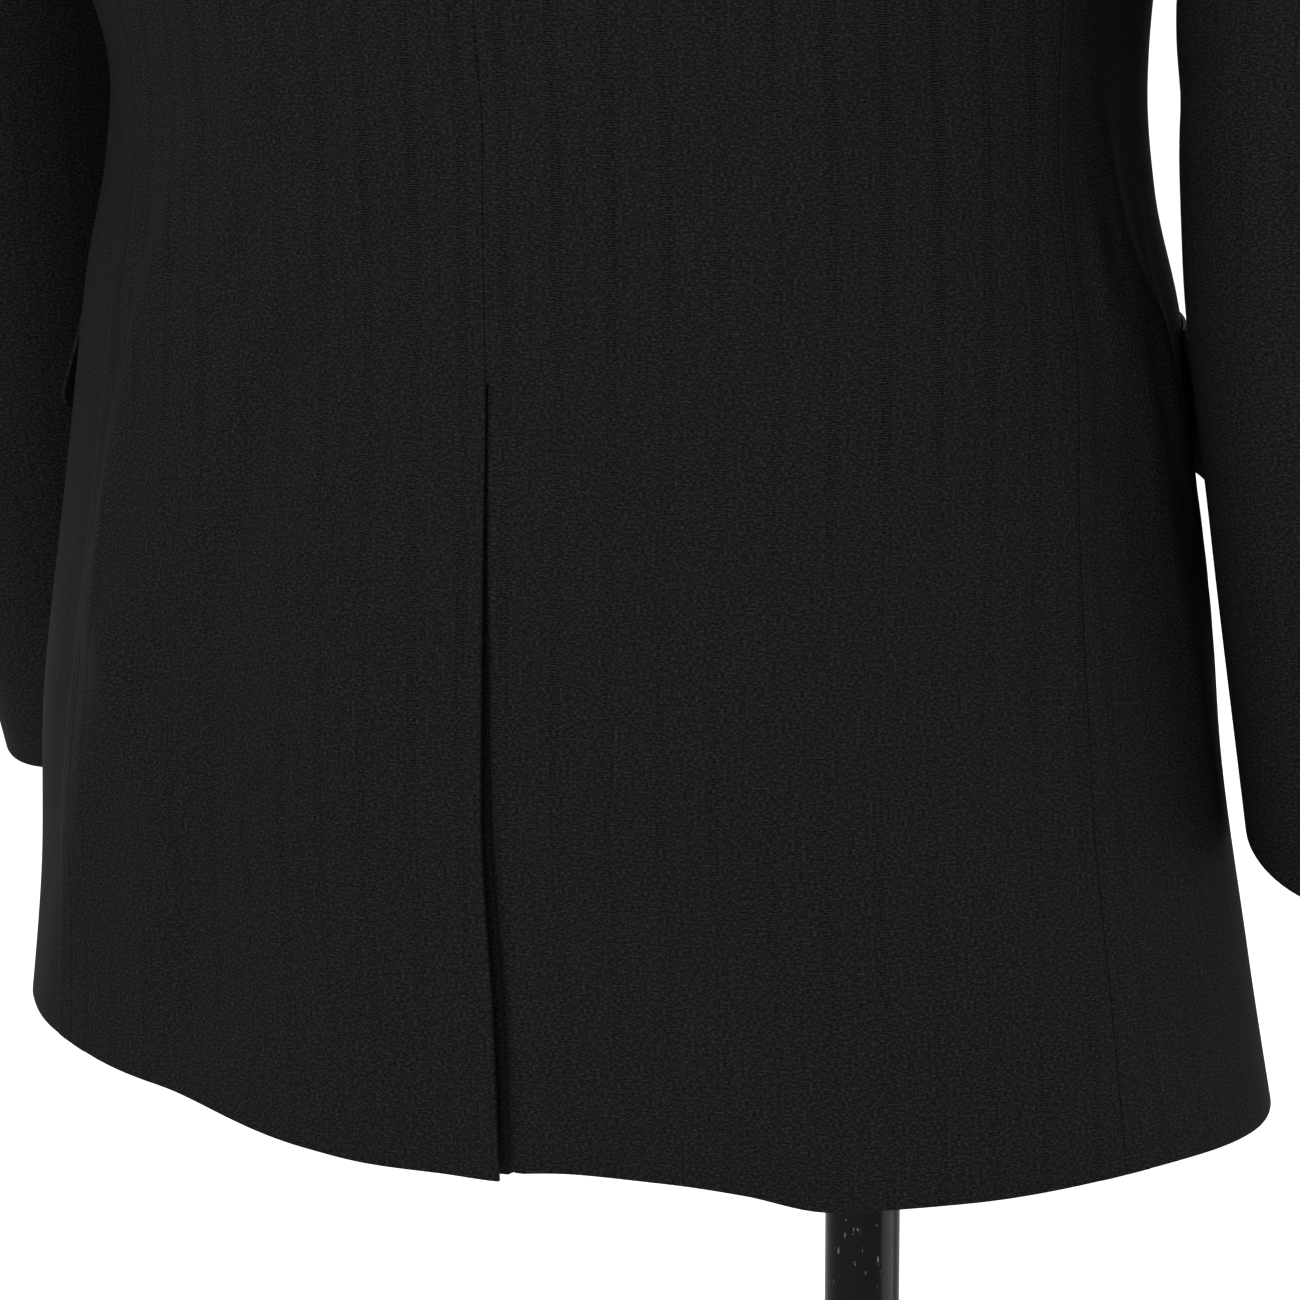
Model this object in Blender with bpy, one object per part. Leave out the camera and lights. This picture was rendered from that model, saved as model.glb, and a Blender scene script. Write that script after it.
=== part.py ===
"""A suit jacket on a limbless dress form, which stands on an offset pole and a round base.

The origin is on the floor under the jacket's centre. +Z is up, the back of the jacket faces +Y
and the wearer's left is +X. Heights named in the tables are measured up from the jacket's hem.
An angle is measured round the body from the centre back, 0, to the wearer's left, +90, or
to the wearer's right, -90, and on to the centre front, 180.
"""

from collections import namedtuple

import bmesh
import bpy
import numpy as np

# Driving dimensions, in metres and degrees.
HEM_HEIGHT = 0.800
CLOTH = 0.0018
SEAM_GAP = 0.0005
LAYER_GAP = 0.0007

NECK_SEAM = 0.757
SHOULDER_TIP = 0.698
ARMHOLE_MIDDLE = 0.600
ARMHOLE_HALF_ANGLE = 19.0
ARMHOLE_JOIN_ANGLE = 17.0
ARMHOLE_JOIN = 0.5563
SHOULDER_SEAM_AT_NECK = 86.0

VENT_TOP = 0.262
VENT_LAP = 0.034
LAP_INSET = CLOTH + 2 * LAYER_GAP
LAP_BLEND = 0.016
VENT_TAPER = 0.008

FRONT_OVERLAP = 0.018
BREAK_HEIGHT = 0.372
CUTAWAY_START = 0.225
CUTAWAY_REACH = 0.082
CUTAWAY_CORNER = 0.040
GORGE_HEIGHT = 0.712
GORGE_X = 0.063
CROSSING = BREAK_HEIGHT + (GORGE_HEIGHT - BREAK_HEIGHT) * FRONT_OVERLAP / (GORGE_X + FRONT_OVERLAP)
NECK_POINT_X = 0.0765
FRONT_TOP = 0.754

LAPEL_TIP_X = 0.121
LAPEL_TIP_HEIGHT = 0.628
LAPEL_BELLY = 0.012
LAPEL_ROLL = 0.0035
LAPEL_SWELL = 0.0012

STAND_HEIGHT = 0.028
LEAF_DEPTH = 0.042
COLLAR_WALL = 0.0020
COLLAR_FOLD = 0.0034
COLLAR_BACK_SHARE = 0.60

FLAP_REAR_ANGLE = 92.0
FLAP_FRONT_ANGLE = 139.0
FLAP_TURN = 3.5
FLAP_TOP = 0.256
FLAP_DEPTH = 0.050
FLAP_LIFT = 0.0036
POCKET_GAP = 0.0006
JET_HEIGHT = 0.005
JET_WALL = 0.0011

BUTTON_HEIGHTS = (0.352, 0.245)
BUTTON_RADIUS = 0.010
BUTTON_THICKNESS = 0.0035
BUTTON_SHANK = 0.0003

POLE_X = -0.0828
POLE_RADIUS = 0.0125
FLANGE_RADIUS = 0.034
FLANGE_HEIGHT = 0.026
BASE_RADIUS = 0.190
BASE_THICKNESS = 0.008
METAL_GAP = 0.0003

# One row for each section of the jacket's body.
BodyRow = namedtuple("BodyRow", "height half_width back front squareness sideways")
BODY = (
    BodyRow(-0.020, 0.2181, 0.128, 0.140, 1.90, -0.0038),
    BodyRow(0.050, 0.2082, 0.128, 0.136, 1.90, -0.0014),
    BodyRow(0.120, 0.2012, 0.128, 0.132, 1.90, 0.0024),
    BodyRow(0.200, 0.1911, 0.128, 0.128, 1.90, 0.0016),
    BodyRow(0.260, 0.1845, 0.128, 0.124, 1.90, 0.0004),
    BodyRow(0.300, 0.1759, 0.128, 0.120, 1.90, 0.0008),
    BodyRow(0.335, 0.1726, 0.128, 0.118, 1.92, 0.0011),
    BodyRow(0.380, 0.1775, 0.128, 0.118, 1.95, 0.0035),
    BodyRow(0.440, 0.1840, 0.130, 0.122, 2.02, 0.0020),
    BodyRow(0.500, 0.1920, 0.131, 0.127, 2.10, 0.0),
    BodyRow(0.560, 0.2005, 0.128, 0.125, 2.10, 0.0),
    BodyRow(0.620, 0.2075, 0.120, 0.113, 2.00, 0.0),
    BodyRow(0.670, 0.2120, 0.107, 0.092, 1.82, 0.0),
    BodyRow(0.692, 0.2100, 0.100, 0.079, 1.72, 0.0),
    BodyRow(0.706, 0.1880, 0.096, 0.070, 1.72, 0.0),
    BodyRow(0.723, 0.1480, 0.090, 0.059, 1.80, 0.0),
    BodyRow(0.740, 0.1090, 0.083, 0.050, 1.90, 0.0),
    BodyRow(0.757, 0.0765, 0.073, 0.044, 2.00, 0.0),
)

# Sections of the dress form, smaller than the jacket all round, up to the top of its neck.
FormRow = namedtuple("FormRow", "height half_width back front squareness")
FORM = (
    FormRow(0.055, 0.160, 0.102, 0.106, 2.10),
    FormRow(0.062, 0.172, 0.110, 0.114, 2.10),
    FormRow(0.085, 0.178, 0.113, 0.117, 2.10),
    FormRow(0.150, 0.180, 0.114, 0.116, 2.10),
    FormRow(0.200, 0.175, 0.113, 0.113, 2.10),
    FormRow(0.260, 0.164, 0.110, 0.107, 2.05),
    FormRow(0.335, 0.152, 0.108, 0.101, 2.00),
    FormRow(0.400, 0.155, 0.110, 0.103, 2.00),
    FormRow(0.500, 0.172, 0.117, 0.112, 2.10),
    FormRow(0.560, 0.183, 0.117, 0.114, 2.10),
    FormRow(0.620, 0.1920, 0.110, 0.103, 2.00),
    FormRow(0.665, 0.1990, 0.101, 0.087, 1.84),
    FormRow(0.690, 0.2000, 0.094, 0.074, 1.74),
    FormRow(0.698, 0.1960, 0.092, 0.070, 1.72),
    FormRow(0.713, 0.1698, 0.088, 0.060, 1.74),
    FormRow(0.728, 0.1336, 0.083, 0.051, 1.82),
    FormRow(0.742, 0.1020, 0.077, 0.045, 1.91),
    FormRow(0.753, 0.0740, 0.067, 0.041, 2.00),
    FormRow(0.768, 0.0590, 0.058, 0.044, 2.00),
    FormRow(0.805, 0.0570, 0.054, 0.050, 2.00),
)

# The side-back seams, which run down to the hem a little unevenly, as the jacket hangs.
SeamRow = namedtuple("SeamRow", "height left right front")
SEAMS = (
    SeamRow(0.000, 68.0, 72.5, 113.0),
    SeamRow(0.120, 66.5, 72.8, 112.0),
    SeamRow(0.220, 64.5, 73.0, 110.5),
    SeamRow(0.300, 63.0, 74.0, 109.0),
    SeamRow(0.400, 65.0, 74.0, 107.5),
    SeamRow(0.5563, 73.0, 73.0, 107.0),
)

# How far the hem dips below its level, round the body.
HemRow = namedtuple("HemRow", "angle drop")
HEM = (
    HemRow(-180.0, 0.004),
    HemRow(-120.0, 0.000),
    HemRow(-100.0, 0.002),
    HemRow(-80.0, 0.001),
    HemRow(-44.0, 0.0080),
    HemRow(-26.0, 0.0010),
    HemRow(-12.0, -0.0012),
    HemRow(-2.5, 0.0010),
    HemRow(0.0, 0.0040),
    HemRow(22.0, 0.0045),
    HemRow(54.0, -0.0035),
    HemRow(78.0, -0.0065),
    HemRow(120.0, 0.000),
    HemRow(180.0, 0.004),
)

# Soft folds of the hanging cloth: a ridge has a positive rise and a trough a negative one.
# low and high are its ends, in height, and the angles say where each end lies.
FoldRow = namedtuple("FoldRow", "low angle_low high angle_high width rise")
FOLDS = (
    FoldRow(0.02, 72.0, 0.34, 40.0, 0.017, 0.0036),
    FoldRow(0.10, 52.0, 0.30, 30.0, 0.026, -0.0030),
    FoldRow(-0.04, 22.0, 0.22, 16.0, 0.030, 0.0022),
    FoldRow(-0.04, -42.0, 0.24, -30.0, 0.034, 0.0026),
    FoldRow(0.26, -92.0, 0.46, -84.0, 0.022, -0.0050),
    FoldRow(0.14, -98.0, 0.34, -80.0, 0.007, 0.0018),
    FoldRow(0.12, -90.0, 0.32, -77.0, 0.006, 0.0014),
    FoldRow(0.30, -40.0, 0.48, -62.0, 0.024, 0.0026),
    FoldRow(0.30, 30.0, 0.48, 56.0, 0.022, 0.0026),
    FoldRow(0.28, 20.0, 0.40, -20.0, 0.020, -0.0012),
    FoldRow(0.345, 84.0, 0.45, 80.0, 0.045, 0.0065),
    FoldRow(0.46, 30.0, 0.62, 58.0, 0.022, 0.0030),
    FoldRow(0.46, -32.0, 0.62, -60.0, 0.022, 0.0032),
    FoldRow(0.16, 122.0, 0.42, 140.0, 0.026, 0.0024),
    FoldRow(0.14, -124.0, 0.40, -142.0, 0.026, 0.0026),
    FoldRow(0.30, 150.0, 0.40, 118.0, 0.016, 0.0026),
    FoldRow(0.30, -152.0, 0.40, -116.0, 0.016, 0.0024),
)

# The leaf's lower edge, from the shoulder, where ahead is 0, past its tip to the gorge, at 1.
CollarRow = namedtuple("CollarRow", "ahead x height")
COLLAR_EDGE = (
    CollarRow(0.00, 0.0890, 0.7505),
    CollarRow(0.40, 0.1030, 0.7210),
    CollarRow(0.80, 0.1210, 0.6790),
    CollarRow(1.00, 0.0980, 0.6620),
)

# Sections of the right sleeve, each from its point next to the body to its outermost point.
# A section's back edge is lower than its middle by back_drop, and its front edge higher.
SleeveRow = namedtuple("SleeveRow", "inner_x inner_height outer_x outer_height middle_y half_depth back_drop")
SLEEVE = (
    SleeveRow(0.1985, 0.494, 0.2390, 0.6960, 0.003, 0.072, 0.000),
    SleeveRow(0.1990, 0.478, 0.2590, 0.6640, 0.003, 0.078, 0.000),
    SleeveRow(0.1985, 0.458, 0.2700, 0.6100, 0.001, 0.080, 0.000),
    SleeveRow(0.1960, 0.430, 0.2760, 0.5400, -0.004, 0.079, 0.002),
    SleeveRow(0.1900, 0.398, 0.2780, 0.4600, -0.010, 0.074, 0.004),
    SleeveRow(0.1830, 0.354, 0.2770, 0.3740, -0.021, 0.070, 0.007),
    SleeveRow(0.1870, 0.288, 0.2800, 0.2900, -0.024, 0.065, 0.009),
    SleeveRow(0.1968, 0.200, 0.2850, 0.1930, -0.029, 0.060, 0.010),
    SleeveRow(0.2050, 0.097, 0.2880, 0.0800, -0.041, 0.053, 0.010),
)

# How far the left sleeve hangs off the right one's mirror image, from the shoulder to the cuff.
ShiftRow = namedtuple("ShiftRow", "along out forward")
LEFT_SLEEVE_SHIFT = (
    ShiftRow(0.00, 0.000, 0.000),
    ShiftRow(0.35, 0.004, 0.002),
    ShiftRow(0.60, 0.008, 0.014),
    ShiftRow(0.78, 0.003, 0.030),
    ShiftRow(0.89, -0.004, 0.040),
    ShiftRow(1.00, -0.020, 0.050),
)
HINDARM_SEAM = 118.0
FOREARM_SEAM = 232.0

# How many rows and columns the meshes have.
BODY_ROWS = (
    (0.0, VENT_TOP, 7),
    (VENT_TOP, VENT_TOP + VENT_TAPER, 1),
    (VENT_TOP + VENT_TAPER, ARMHOLE_JOIN, 7),
    (ARMHOLE_JOIN, 0.66, 4),
    (0.66, SHOULDER_TIP, 4),
    (SHOULDER_TIP, NECK_SEAM, 4),
)
BACK_COLUMNS = 9
SIDE_COLUMNS = 5
FRONT_COLUMNS = 10
TOP_SLEEVE_COLUMNS = 10
UNDER_SLEEVE_COLUMNS = 5
SLEEVE_ROWS = 20
FORM_COLUMNS = 28


def smooth_curve(knots, values, at):
    """A smooth curve through a table's values, which never swings past them."""
    knots, values = np.asarray(knots, float), np.asarray(values, float)
    slopes = np.diff(values) / np.diff(knots)
    before, after = slopes[:-1], slopes[1:]
    total = before + after
    one_way = before * after > 0
    inner = np.where(one_way, 2 * before * after / np.where(one_way, total, 1), 0)
    tangents = np.concatenate([slopes[:1], inner, slopes[-1:]])
    at = np.asarray(at, float)
    i = np.clip(np.searchsorted(knots, at, side="right") - 1, 0, len(knots) - 2)
    span = knots[i + 1] - knots[i]
    t = np.clip((at - knots[i]) / span, 0, 1)
    start = (1 + 2 * t) * (1 - t) ** 2 * values[i] + t * (1 - t) ** 2 * span * tangents[i]
    end = t**2 * (3 - 2 * t) * values[i + 1] + t**2 * (t - 1) * span * tangents[i + 1]
    return start + end


def column(table, name, at, key="height"):
    """A table's column, read as a smooth curve of its key column."""
    return smooth_curve([getattr(row, key) for row in table], [getattr(row, name) for row in table], at)


def smooth_step(low, high, value):
    t = np.clip((value - low) / (high - low), 0, 1)
    return t * t * (3 - 2 * t)


def unit(vectors):
    return vectors / np.linalg.norm(vectors, axis=-1, keepdims=True)


def ring_xy(table, angle, height):
    """A section's outline: a squared ellipse with its own depth at the back and at the front."""
    turn = np.radians(angle)
    half_width = column(table, "half_width", height)
    back, front = column(table, "back", height), column(table, "front", height)
    depth = np.where(np.cos(turn) > 0, back, front)
    power = column(table, "squareness", height)
    across = np.abs(np.sin(turn) / half_width) ** power
    along = np.abs(np.cos(turn) / depth) ** power
    radius = (across + along) ** (-1 / power)
    return radius * np.sin(turn), radius * np.cos(turn)


def plain_body(angle, height):
    x, y = ring_xy(BODY, angle, height)
    return np.stack([x + column(BODY, "sideways", height), y, HEM_HEIGHT + height], -1)


def body_normal(angle, height):
    """The direction out of the body's surface."""
    small_turn, small_rise = 0.5, 0.002
    low = np.clip(height - small_rise, BODY[0].height, NECK_SEAM - 2 * small_rise)
    round_it = plain_body(angle - small_turn, height) - plain_body(angle + small_turn, height)
    up_it = plain_body(angle, low + 2 * small_rise) - plain_body(angle, low)
    return unit(np.cross(round_it, up_it))


def fold_rise(angle, height):
    """How far the folds lift the cloth off its plain form."""
    rise = np.zeros(np.broadcast(angle, height).shape)
    for fold in FOLDS:
        along = (height - fold.low) / (fold.high - fold.low)
        centre = fold.angle_low + (fold.angle_high - fold.angle_low) * np.clip(along, -0.3, 1.3)
        away = (np.mod(angle - centre + 180, 360) - 180) * np.radians(1) * column(BODY, "half_width", height)
        fade = smooth_step(-0.25, 0.3, along) * smooth_step(1.25, 0.7, along)
        rise = rise + fold.rise * fade * np.exp(-((away / fold.width) ** 2))
    return rise


def body_point(angle, height, out=0.0):
    """A point of the draped cloth's inner face, moved out by a distance."""
    angle, height = np.broadcast_arrays(np.asarray(angle, float), np.asarray(height, float))
    lift = np.asarray(fold_rise(angle, height) + out)[..., None]
    return plain_body(angle, height) + body_normal(angle, height) * lift


def front_angle(height, x):
    """The angle at which the front of a section reaches a distance from the centre front."""
    half_width = column(BODY, "half_width", height)
    depth, power = column(BODY, "front", height), column(BODY, "squareness", height)
    y = depth * (1 - np.clip(np.abs(x) / half_width, 0, 1) ** power) ** (1 / power)
    return 180 - np.degrees(np.arctan2(x, y))


def armhole_reach(height):
    """Half the angle that the armhole opens at a height."""
    half_height = SHOULDER_TIP - ARMHOLE_MIDDLE
    across = 1 - ((height - ARMHOLE_MIDDLE) / half_height) ** 2
    return ARMHOLE_HALF_ANGLE * np.sqrt(np.clip(across, 0, 1))


def shoulder_seam(height):
    along = np.clip((height - SHOULDER_TIP) / (NECK_SEAM - SHOULDER_TIP), 0, 1)
    return 90 + (SHOULDER_SEAM_AT_NECK - 90) * along


def gap_angle(height):
    """Half of a seam's gap, as an angle round the body."""
    return np.degrees(SEAM_GAP / 2 / column(BODY, "back", height))


def outer_edge(height, side, front):
    """The edge of a back or a front panel: its long seam, then the armhole, then the shoulder seam."""
    seam = column(SEAMS, "front" if front else "left" if side > 0 else "right", np.clip(height, 0, ARMHOLE_JOIN))
    hole = 90 + armhole_reach(height) * (1 if front else -1)
    angle = np.where(height < ARMHOLE_JOIN, seam, np.where(height < SHOULDER_TIP, hole, shoulder_seam(height)))
    return angle + gap_angle(height) * (1 if front else -1)


def hem_drop(angle):
    return column(HEM, "drop", np.mod(angle + 180, 360) - 180, key="angle")


def hang_to_hem(angle, height):
    """Lowers the rows near the hem by its waves."""
    return height - hem_drop(angle) * smooth_step(0.12, 0.0, height)


def row_heights():
    rows = [np.linspace(start, stop, count, endpoint=False) for start, stop, count in BODY_ROWS]
    return np.concatenate(rows + [[NECK_SEAM]])


def clear_scene():
    for obj in list(bpy.data.objects):
        bpy.data.objects.remove(obj, do_unlink=True)
    for mesh in list(bpy.data.meshes):
        bpy.data.meshes.remove(mesh)


def make_material(name, colour, roughness, metallic=0.0):
    material = bpy.data.materials.new(name)
    material.use_nodes = True
    shader = material.node_tree.nodes["Principled BSDF"]
    shader.inputs["Base Color"].default_value = (*colour, 1.0)
    shader.inputs["Roughness"].default_value = roughness
    shader.inputs["Metallic"].default_value = metallic
    return material


def make_object(name, bm, material, smooth_angle=50.0):
    mesh = bpy.data.meshes.new(name)
    bm.to_mesh(mesh)
    bm.free()
    mesh.materials.append(material)
    mesh.shade_smooth()
    mesh.set_sharp_from_angle(angle=np.radians(smooth_angle))
    obj = bpy.data.objects.new(name, mesh)
    bpy.context.scene.collection.objects.link(obj)
    return obj


def cloth_from_grid(name, grid, material, thickness=CLOTH, offset=1.0):
    """A cloth wall on a grid of points, thickened outwards.

    The grid's rows run up and its columns run round the body to the wearer's left.
    """
    bm = bmesh.new()
    rows, columns = grid.shape[:2]
    verts = [[bm.verts.new(point) for point in row] for row in grid]
    for i in range(rows - 1):
        for j in range(columns - 1):
            corners = (verts[i][j], verts[i + 1][j], verts[i + 1][j + 1], verts[i][j + 1])
            bm.faces.new(corners)
    obj = make_object(name, bm, material)
    wall = obj.modifiers.new("wall", "SOLIDIFY")
    wall.thickness = thickness
    wall.offset = offset
    wall.use_even_offset = True
    return obj


def facing_out(grid, side):
    """Puts a mirrored grid's columns back in order, so that its faces still point outwards."""
    return grid[:, ::-1] if side < 0 else grid


def make_back(side, cloth):
    """A back panel. Below the vent's top, the wearer's right panel runs under the left one."""
    heights = row_heights()[:, None]
    outer = outer_edge(heights, side, front=False)
    inner = gap_angle(heights)
    angle = inner + (outer - inner) * np.linspace(0, 1, BACK_COLUMNS + 1)[None, :]
    inset = 0.0
    if side < 0:
        lap = np.degrees(VENT_LAP / column(BODY, "back", heights)) * (heights <= VENT_TOP)
        angle = np.concatenate([inner - lap, angle], axis=1)
        from_seam = np.radians(angle) * column(BODY, "back", heights)
        inset = LAP_INSET * smooth_step(LAP_BLEND, 0.002, from_seam) * (heights < VENT_TOP + 2 * VENT_TAPER)
    signed = angle * side
    grid = body_point(signed, hang_to_hem(signed, heights), out=-inset)
    name = "back_left" if side > 0 else "back_right"
    return cloth_from_grid(name, facing_out(grid, side), cloth)


def make_side(side, cloth):
    """A side body panel, from the hem up to the armhole's lower edge."""
    across = np.linspace(0, 1, SIDE_COLUMNS + 1)[None, :]
    rows = row_heights()
    up = rows[rows <= ARMHOLE_JOIN][:, None] / ARMHOLE_JOIN
    top_angle = (2 * across - 1) * ARMHOLE_JOIN_ANGLE
    half_height = SHOULDER_TIP - ARMHOLE_MIDDLE
    top = ARMHOLE_MIDDLE - half_height * np.sqrt(1 - (top_angle / ARMHOLE_HALF_ANGLE) ** 2)
    heights = top * up
    back_seam = column(SEAMS, "left" if side > 0 else "right", heights) + gap_angle(heights)
    front_seam = column(SEAMS, "front", heights) - gap_angle(heights)
    angle = side * (back_seam + (front_seam - back_seam) * across)
    grid = body_point(angle, hang_to_hem(angle, heights))
    name = "side_left" if side > 0 else "side_right"
    return cloth_from_grid(name, facing_out(grid, side), cloth)


def neckline_x(height):
    """How far the neck seam lies from the centre, from the shoulder down to the gorge."""
    return GORGE_X + (NECK_POINT_X - GORGE_X) * (height - GORGE_HEIGHT) / (NECK_SEAM - GORGE_HEIGHT)


def front_edge_x(height):
    """How far the front's edge lies from the centre front, past it where the fronts overlap."""
    below = np.clip(1 - height / CUTAWAY_START, 0, 1)
    cutaway = -FRONT_OVERLAP + CUTAWAY_REACH * below**2.2
    along = (height - BREAK_HEIGHT) / (GORGE_HEIGHT - BREAK_HEIGHT)
    roll_line = -FRONT_OVERLAP + (GORGE_X + FRONT_OVERLAP) * along
    upper = np.where(height < GORGE_HEIGHT, roll_line, neckline_x(height))
    return np.where(height < BREAK_HEIGHT, cutaway, upper)


def front_inset(height, x, lapel_room):
    """How far the right front lies under the left one, with room for the right lapel higher up."""
    layers = smooth_step(0.03, 0.10, height) + lapel_room * smooth_step(BREAK_HEIGHT - 0.05, BREAK_HEIGHT, height)
    ends = smooth_step(CROSSING + 0.12, CROSSING, height)
    return LAP_INSET * layers * ends * smooth_step(FRONT_OVERLAP + 0.044, FRONT_OVERLAP - 0.004, x)


def make_front(side, cloth):
    """A front panel. The wearer's left front laps over the right one."""
    heights = np.minimum(row_heights(), FRONT_TOP)[:, None]
    across = np.linspace(0, 1, FRONT_COLUMNS + 1)[None, :] ** 0.85
    outer = outer_edge(heights, side, front=True)
    edge = front_angle(heights, front_edge_x(heights))
    angle = outer + (edge - outer) * across
    corner = np.clip((across - 0.45) / 0.55, 0, 1) ** 2 * CUTAWAY_CORNER
    lifted = heights + corner * smooth_step(0.16, 0.0, heights)
    from_centre = np.radians(180 - angle) * column(BODY, "front", heights)
    inset = front_inset(heights, from_centre, 1.4) if side < 0 else 0.0
    signed = angle * side
    grid = body_point(signed, hang_to_hem(signed, lifted), out=-inset)
    name = "front_left" if side > 0 else "front_right"
    return cloth_from_grid(name, facing_out(grid, side), cloth)


def make_lapel(side, cloth):
    """A lapel, turned out along the roll line and lying on the front."""
    rows, columns = 12, 5
    start = 0.02
    flat_to = start if side > 0 else (CROSSING - BREAK_HEIGHT) / (GORGE_HEIGHT - BREAK_HEIGHT)
    up = np.linspace(start, 1, rows + 1)[:, None]
    across = np.linspace(0, 1, columns + 1)[None, :]
    roll_height = BREAK_HEIGHT + (GORGE_HEIGHT - BREAK_HEIGHT) * up
    roll_x = front_edge_x(roll_height)
    tip_height = BREAK_HEIGHT + (LAPEL_TIP_HEIGHT - BREAK_HEIGHT) * up
    belly = LAPEL_BELLY * np.sin(np.pi * up)
    tip_x = -FRONT_OVERLAP + (LAPEL_TIP_X + FRONT_OVERLAP) * up + belly
    x = roll_x + (tip_x - roll_x) * across
    heights = roll_height + (tip_height - roll_height) * across
    roll = LAPEL_ROLL * np.exp(-((across / 0.22) ** 2)) + LAPEL_SWELL * np.sin(np.pi * across)
    out = CLOTH + LAYER_GAP + roll * smooth_step(flat_to, flat_to + 0.2, up)
    if side < 0:
        out = out - front_inset(heights, x, 1.0)
    angle = front_angle(heights, x) * side
    grid = body_point(angle, heights, out=out)
    name = "lapel_left" if side > 0 else "lapel_right"
    return cloth_from_grid(name, grid if side < 0 else grid[:, ::-1], cloth)


def collar_section(along):
    """One section of the collar: up the stand from the neck seam, over the fold and down the leaf."""
    side, far = (1 if along >= 0 else -1), abs(along)
    behind = np.clip(far / COLLAR_BACK_SHARE, 0, 1)
    ahead = np.clip((far - COLLAR_BACK_SHARE) / (1 - COLLAR_BACK_SHARE), 0, 1)
    if ahead > 0:
        seam_height = NECK_SEAM + (GORGE_HEIGHT + 0.001 - NECK_SEAM) * ahead
        angle = side * front_angle(seam_height, neckline_x(seam_height))
        edge_height = column(COLLAR_EDGE, "height", ahead, key="ahead")
        edge_angle = side * front_angle(edge_height, column(COLLAR_EDGE, "x", ahead, key="ahead"))
    else:
        seam_height = NECK_SEAM
        angle = edge_angle = side * 90 * behind
        below = plain_body(angle, NECK_SEAM - 0.004)
        fall = (plain_body(angle, NECK_SEAM) - below)[2] / np.linalg.norm(plain_body(angle, NECK_SEAM) - below)
        edge_height = NECK_SEAM - (LEAF_DEPTH - STAND_HEIGHT) * fall
    outward = body_normal(angle, seam_height)
    level = unit(outward * np.array([1, 1, 0]))
    up = np.array([0, 0, 1.0])
    stand = STAND_HEIGHT * (1 - 0.80 * smooth_step(0.0, 0.9, ahead))
    foot = body_point(angle, seam_height) - level * 0.003 + up * 0.001
    top = foot + up * stand - level * 0.003 * (1 - ahead)
    shoulder = top + level * 2 * COLLAR_FOLD
    edge = body_point(edge_angle, edge_height, out=CLOTH + LAYER_GAP + 0.003)
    return [
        foot,
        foot + (top - foot) * 0.55,
        top,
        top + level * COLLAR_FOLD + up * COLLAR_FOLD * 0.9,
        shoulder,
        shoulder + (edge - shoulder) * 0.5 + outward * (0.0015 + 0.0035 * ahead),
        edge,
    ]


def make_collar(cloth):
    behind = np.linspace(0, COLLAR_BACK_SHARE, 10)
    ahead = np.linspace(COLLAR_BACK_SHARE, 1, 6)[1:]
    half = np.concatenate([behind, ahead])
    grid = np.array([collar_section(along) for along in np.concatenate([-half[:0:-1], half])])
    return cloth_from_grid("collar", grid.transpose(1, 0, 2), cloth, thickness=COLLAR_WALL, offset=0.0)


def armhole_loop(around, side, out):
    """The armhole's edge: around is 0 at the shoulder tip, 90 at the back and 180 under the arm."""
    turn = np.radians(around)
    half_height = SHOULDER_TIP - ARMHOLE_MIDDLE
    angle = side * (90 - ARMHOLE_HALF_ANGLE * np.sin(turn))
    return body_point(angle, ARMHOLE_MIDDLE + half_height * np.cos(turn), out=out)


def sleeve_point(around, along, side):
    """A point of a sleeve's inner face, from the armhole, where along is 0, to the cuff, at 1."""
    turn = np.radians(around)
    stops = np.linspace(0, 1, len(SLEEVE) + 1)[1:]
    keyed = [row._asdict() for row in SLEEVE]

    def value(name):
        return smooth_curve(stops, [row[name] for row in keyed], np.maximum(along, stops[0]))

    inner = np.stack([value("inner_x"), value("inner_height")], -1)
    outer = np.stack([value("outer_x"), value("outer_height")], -1)
    middle, reach = (inner + outer) / 2, (outer - inner) / 2
    place = middle + reach * np.cos(turn)[..., None]
    y = value("middle_y") + value("half_depth") * np.sin(turn)
    x, height = place[..., 0], place[..., 1] - value("back_drop") * np.sin(turn)
    if side > 0:
        x = x + column(LEFT_SLEEVE_SHIFT, "out", along, key="along")
        y = y - column(LEFT_SLEEVE_SHIFT, "forward", along, key="along")
    tube = np.stack([x * side, y, HEM_HEIGHT + height], -1)
    under_arm = CLOTH * np.clip(-np.cos(turn), 0, 1)
    at_tip = 1.3 * CLOTH * np.clip(np.cos(turn), 0, 1) ** 6
    loop = armhole_loop(around, side, out=CLOTH + LAYER_GAP + under_arm + at_tip)
    blend = smooth_step(0.0, stops[0], along)[..., None]
    return loop + (tube - loop) * blend


def make_sleeve(name, side, start, stop, columns, cloth):
    """A sleeve piece between two of its long seams."""
    half_gap = 0.35
    around = np.linspace(start + half_gap, stop - half_gap, columns + 1)
    along = np.concatenate([np.linspace(0, 0.2, 6), np.linspace(0.2, 1, SLEEVE_ROWS - 4)[1:]])
    along, around = np.meshgrid(along[::-1], around, indexing="ij")
    grid = sleeve_point(around, along, side)
    return cloth_from_grid(name, grid if side < 0 else grid[:, ::-1], cloth)


def pocket_angles(side, across):
    """Where the pocket lies round the body, from its rear end, where across is 0, to its front end."""
    return FLAP_REAR_ANGLE - FLAP_TURN * side + (FLAP_FRONT_ANGLE - FLAP_REAR_ANGLE) * across


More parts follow.
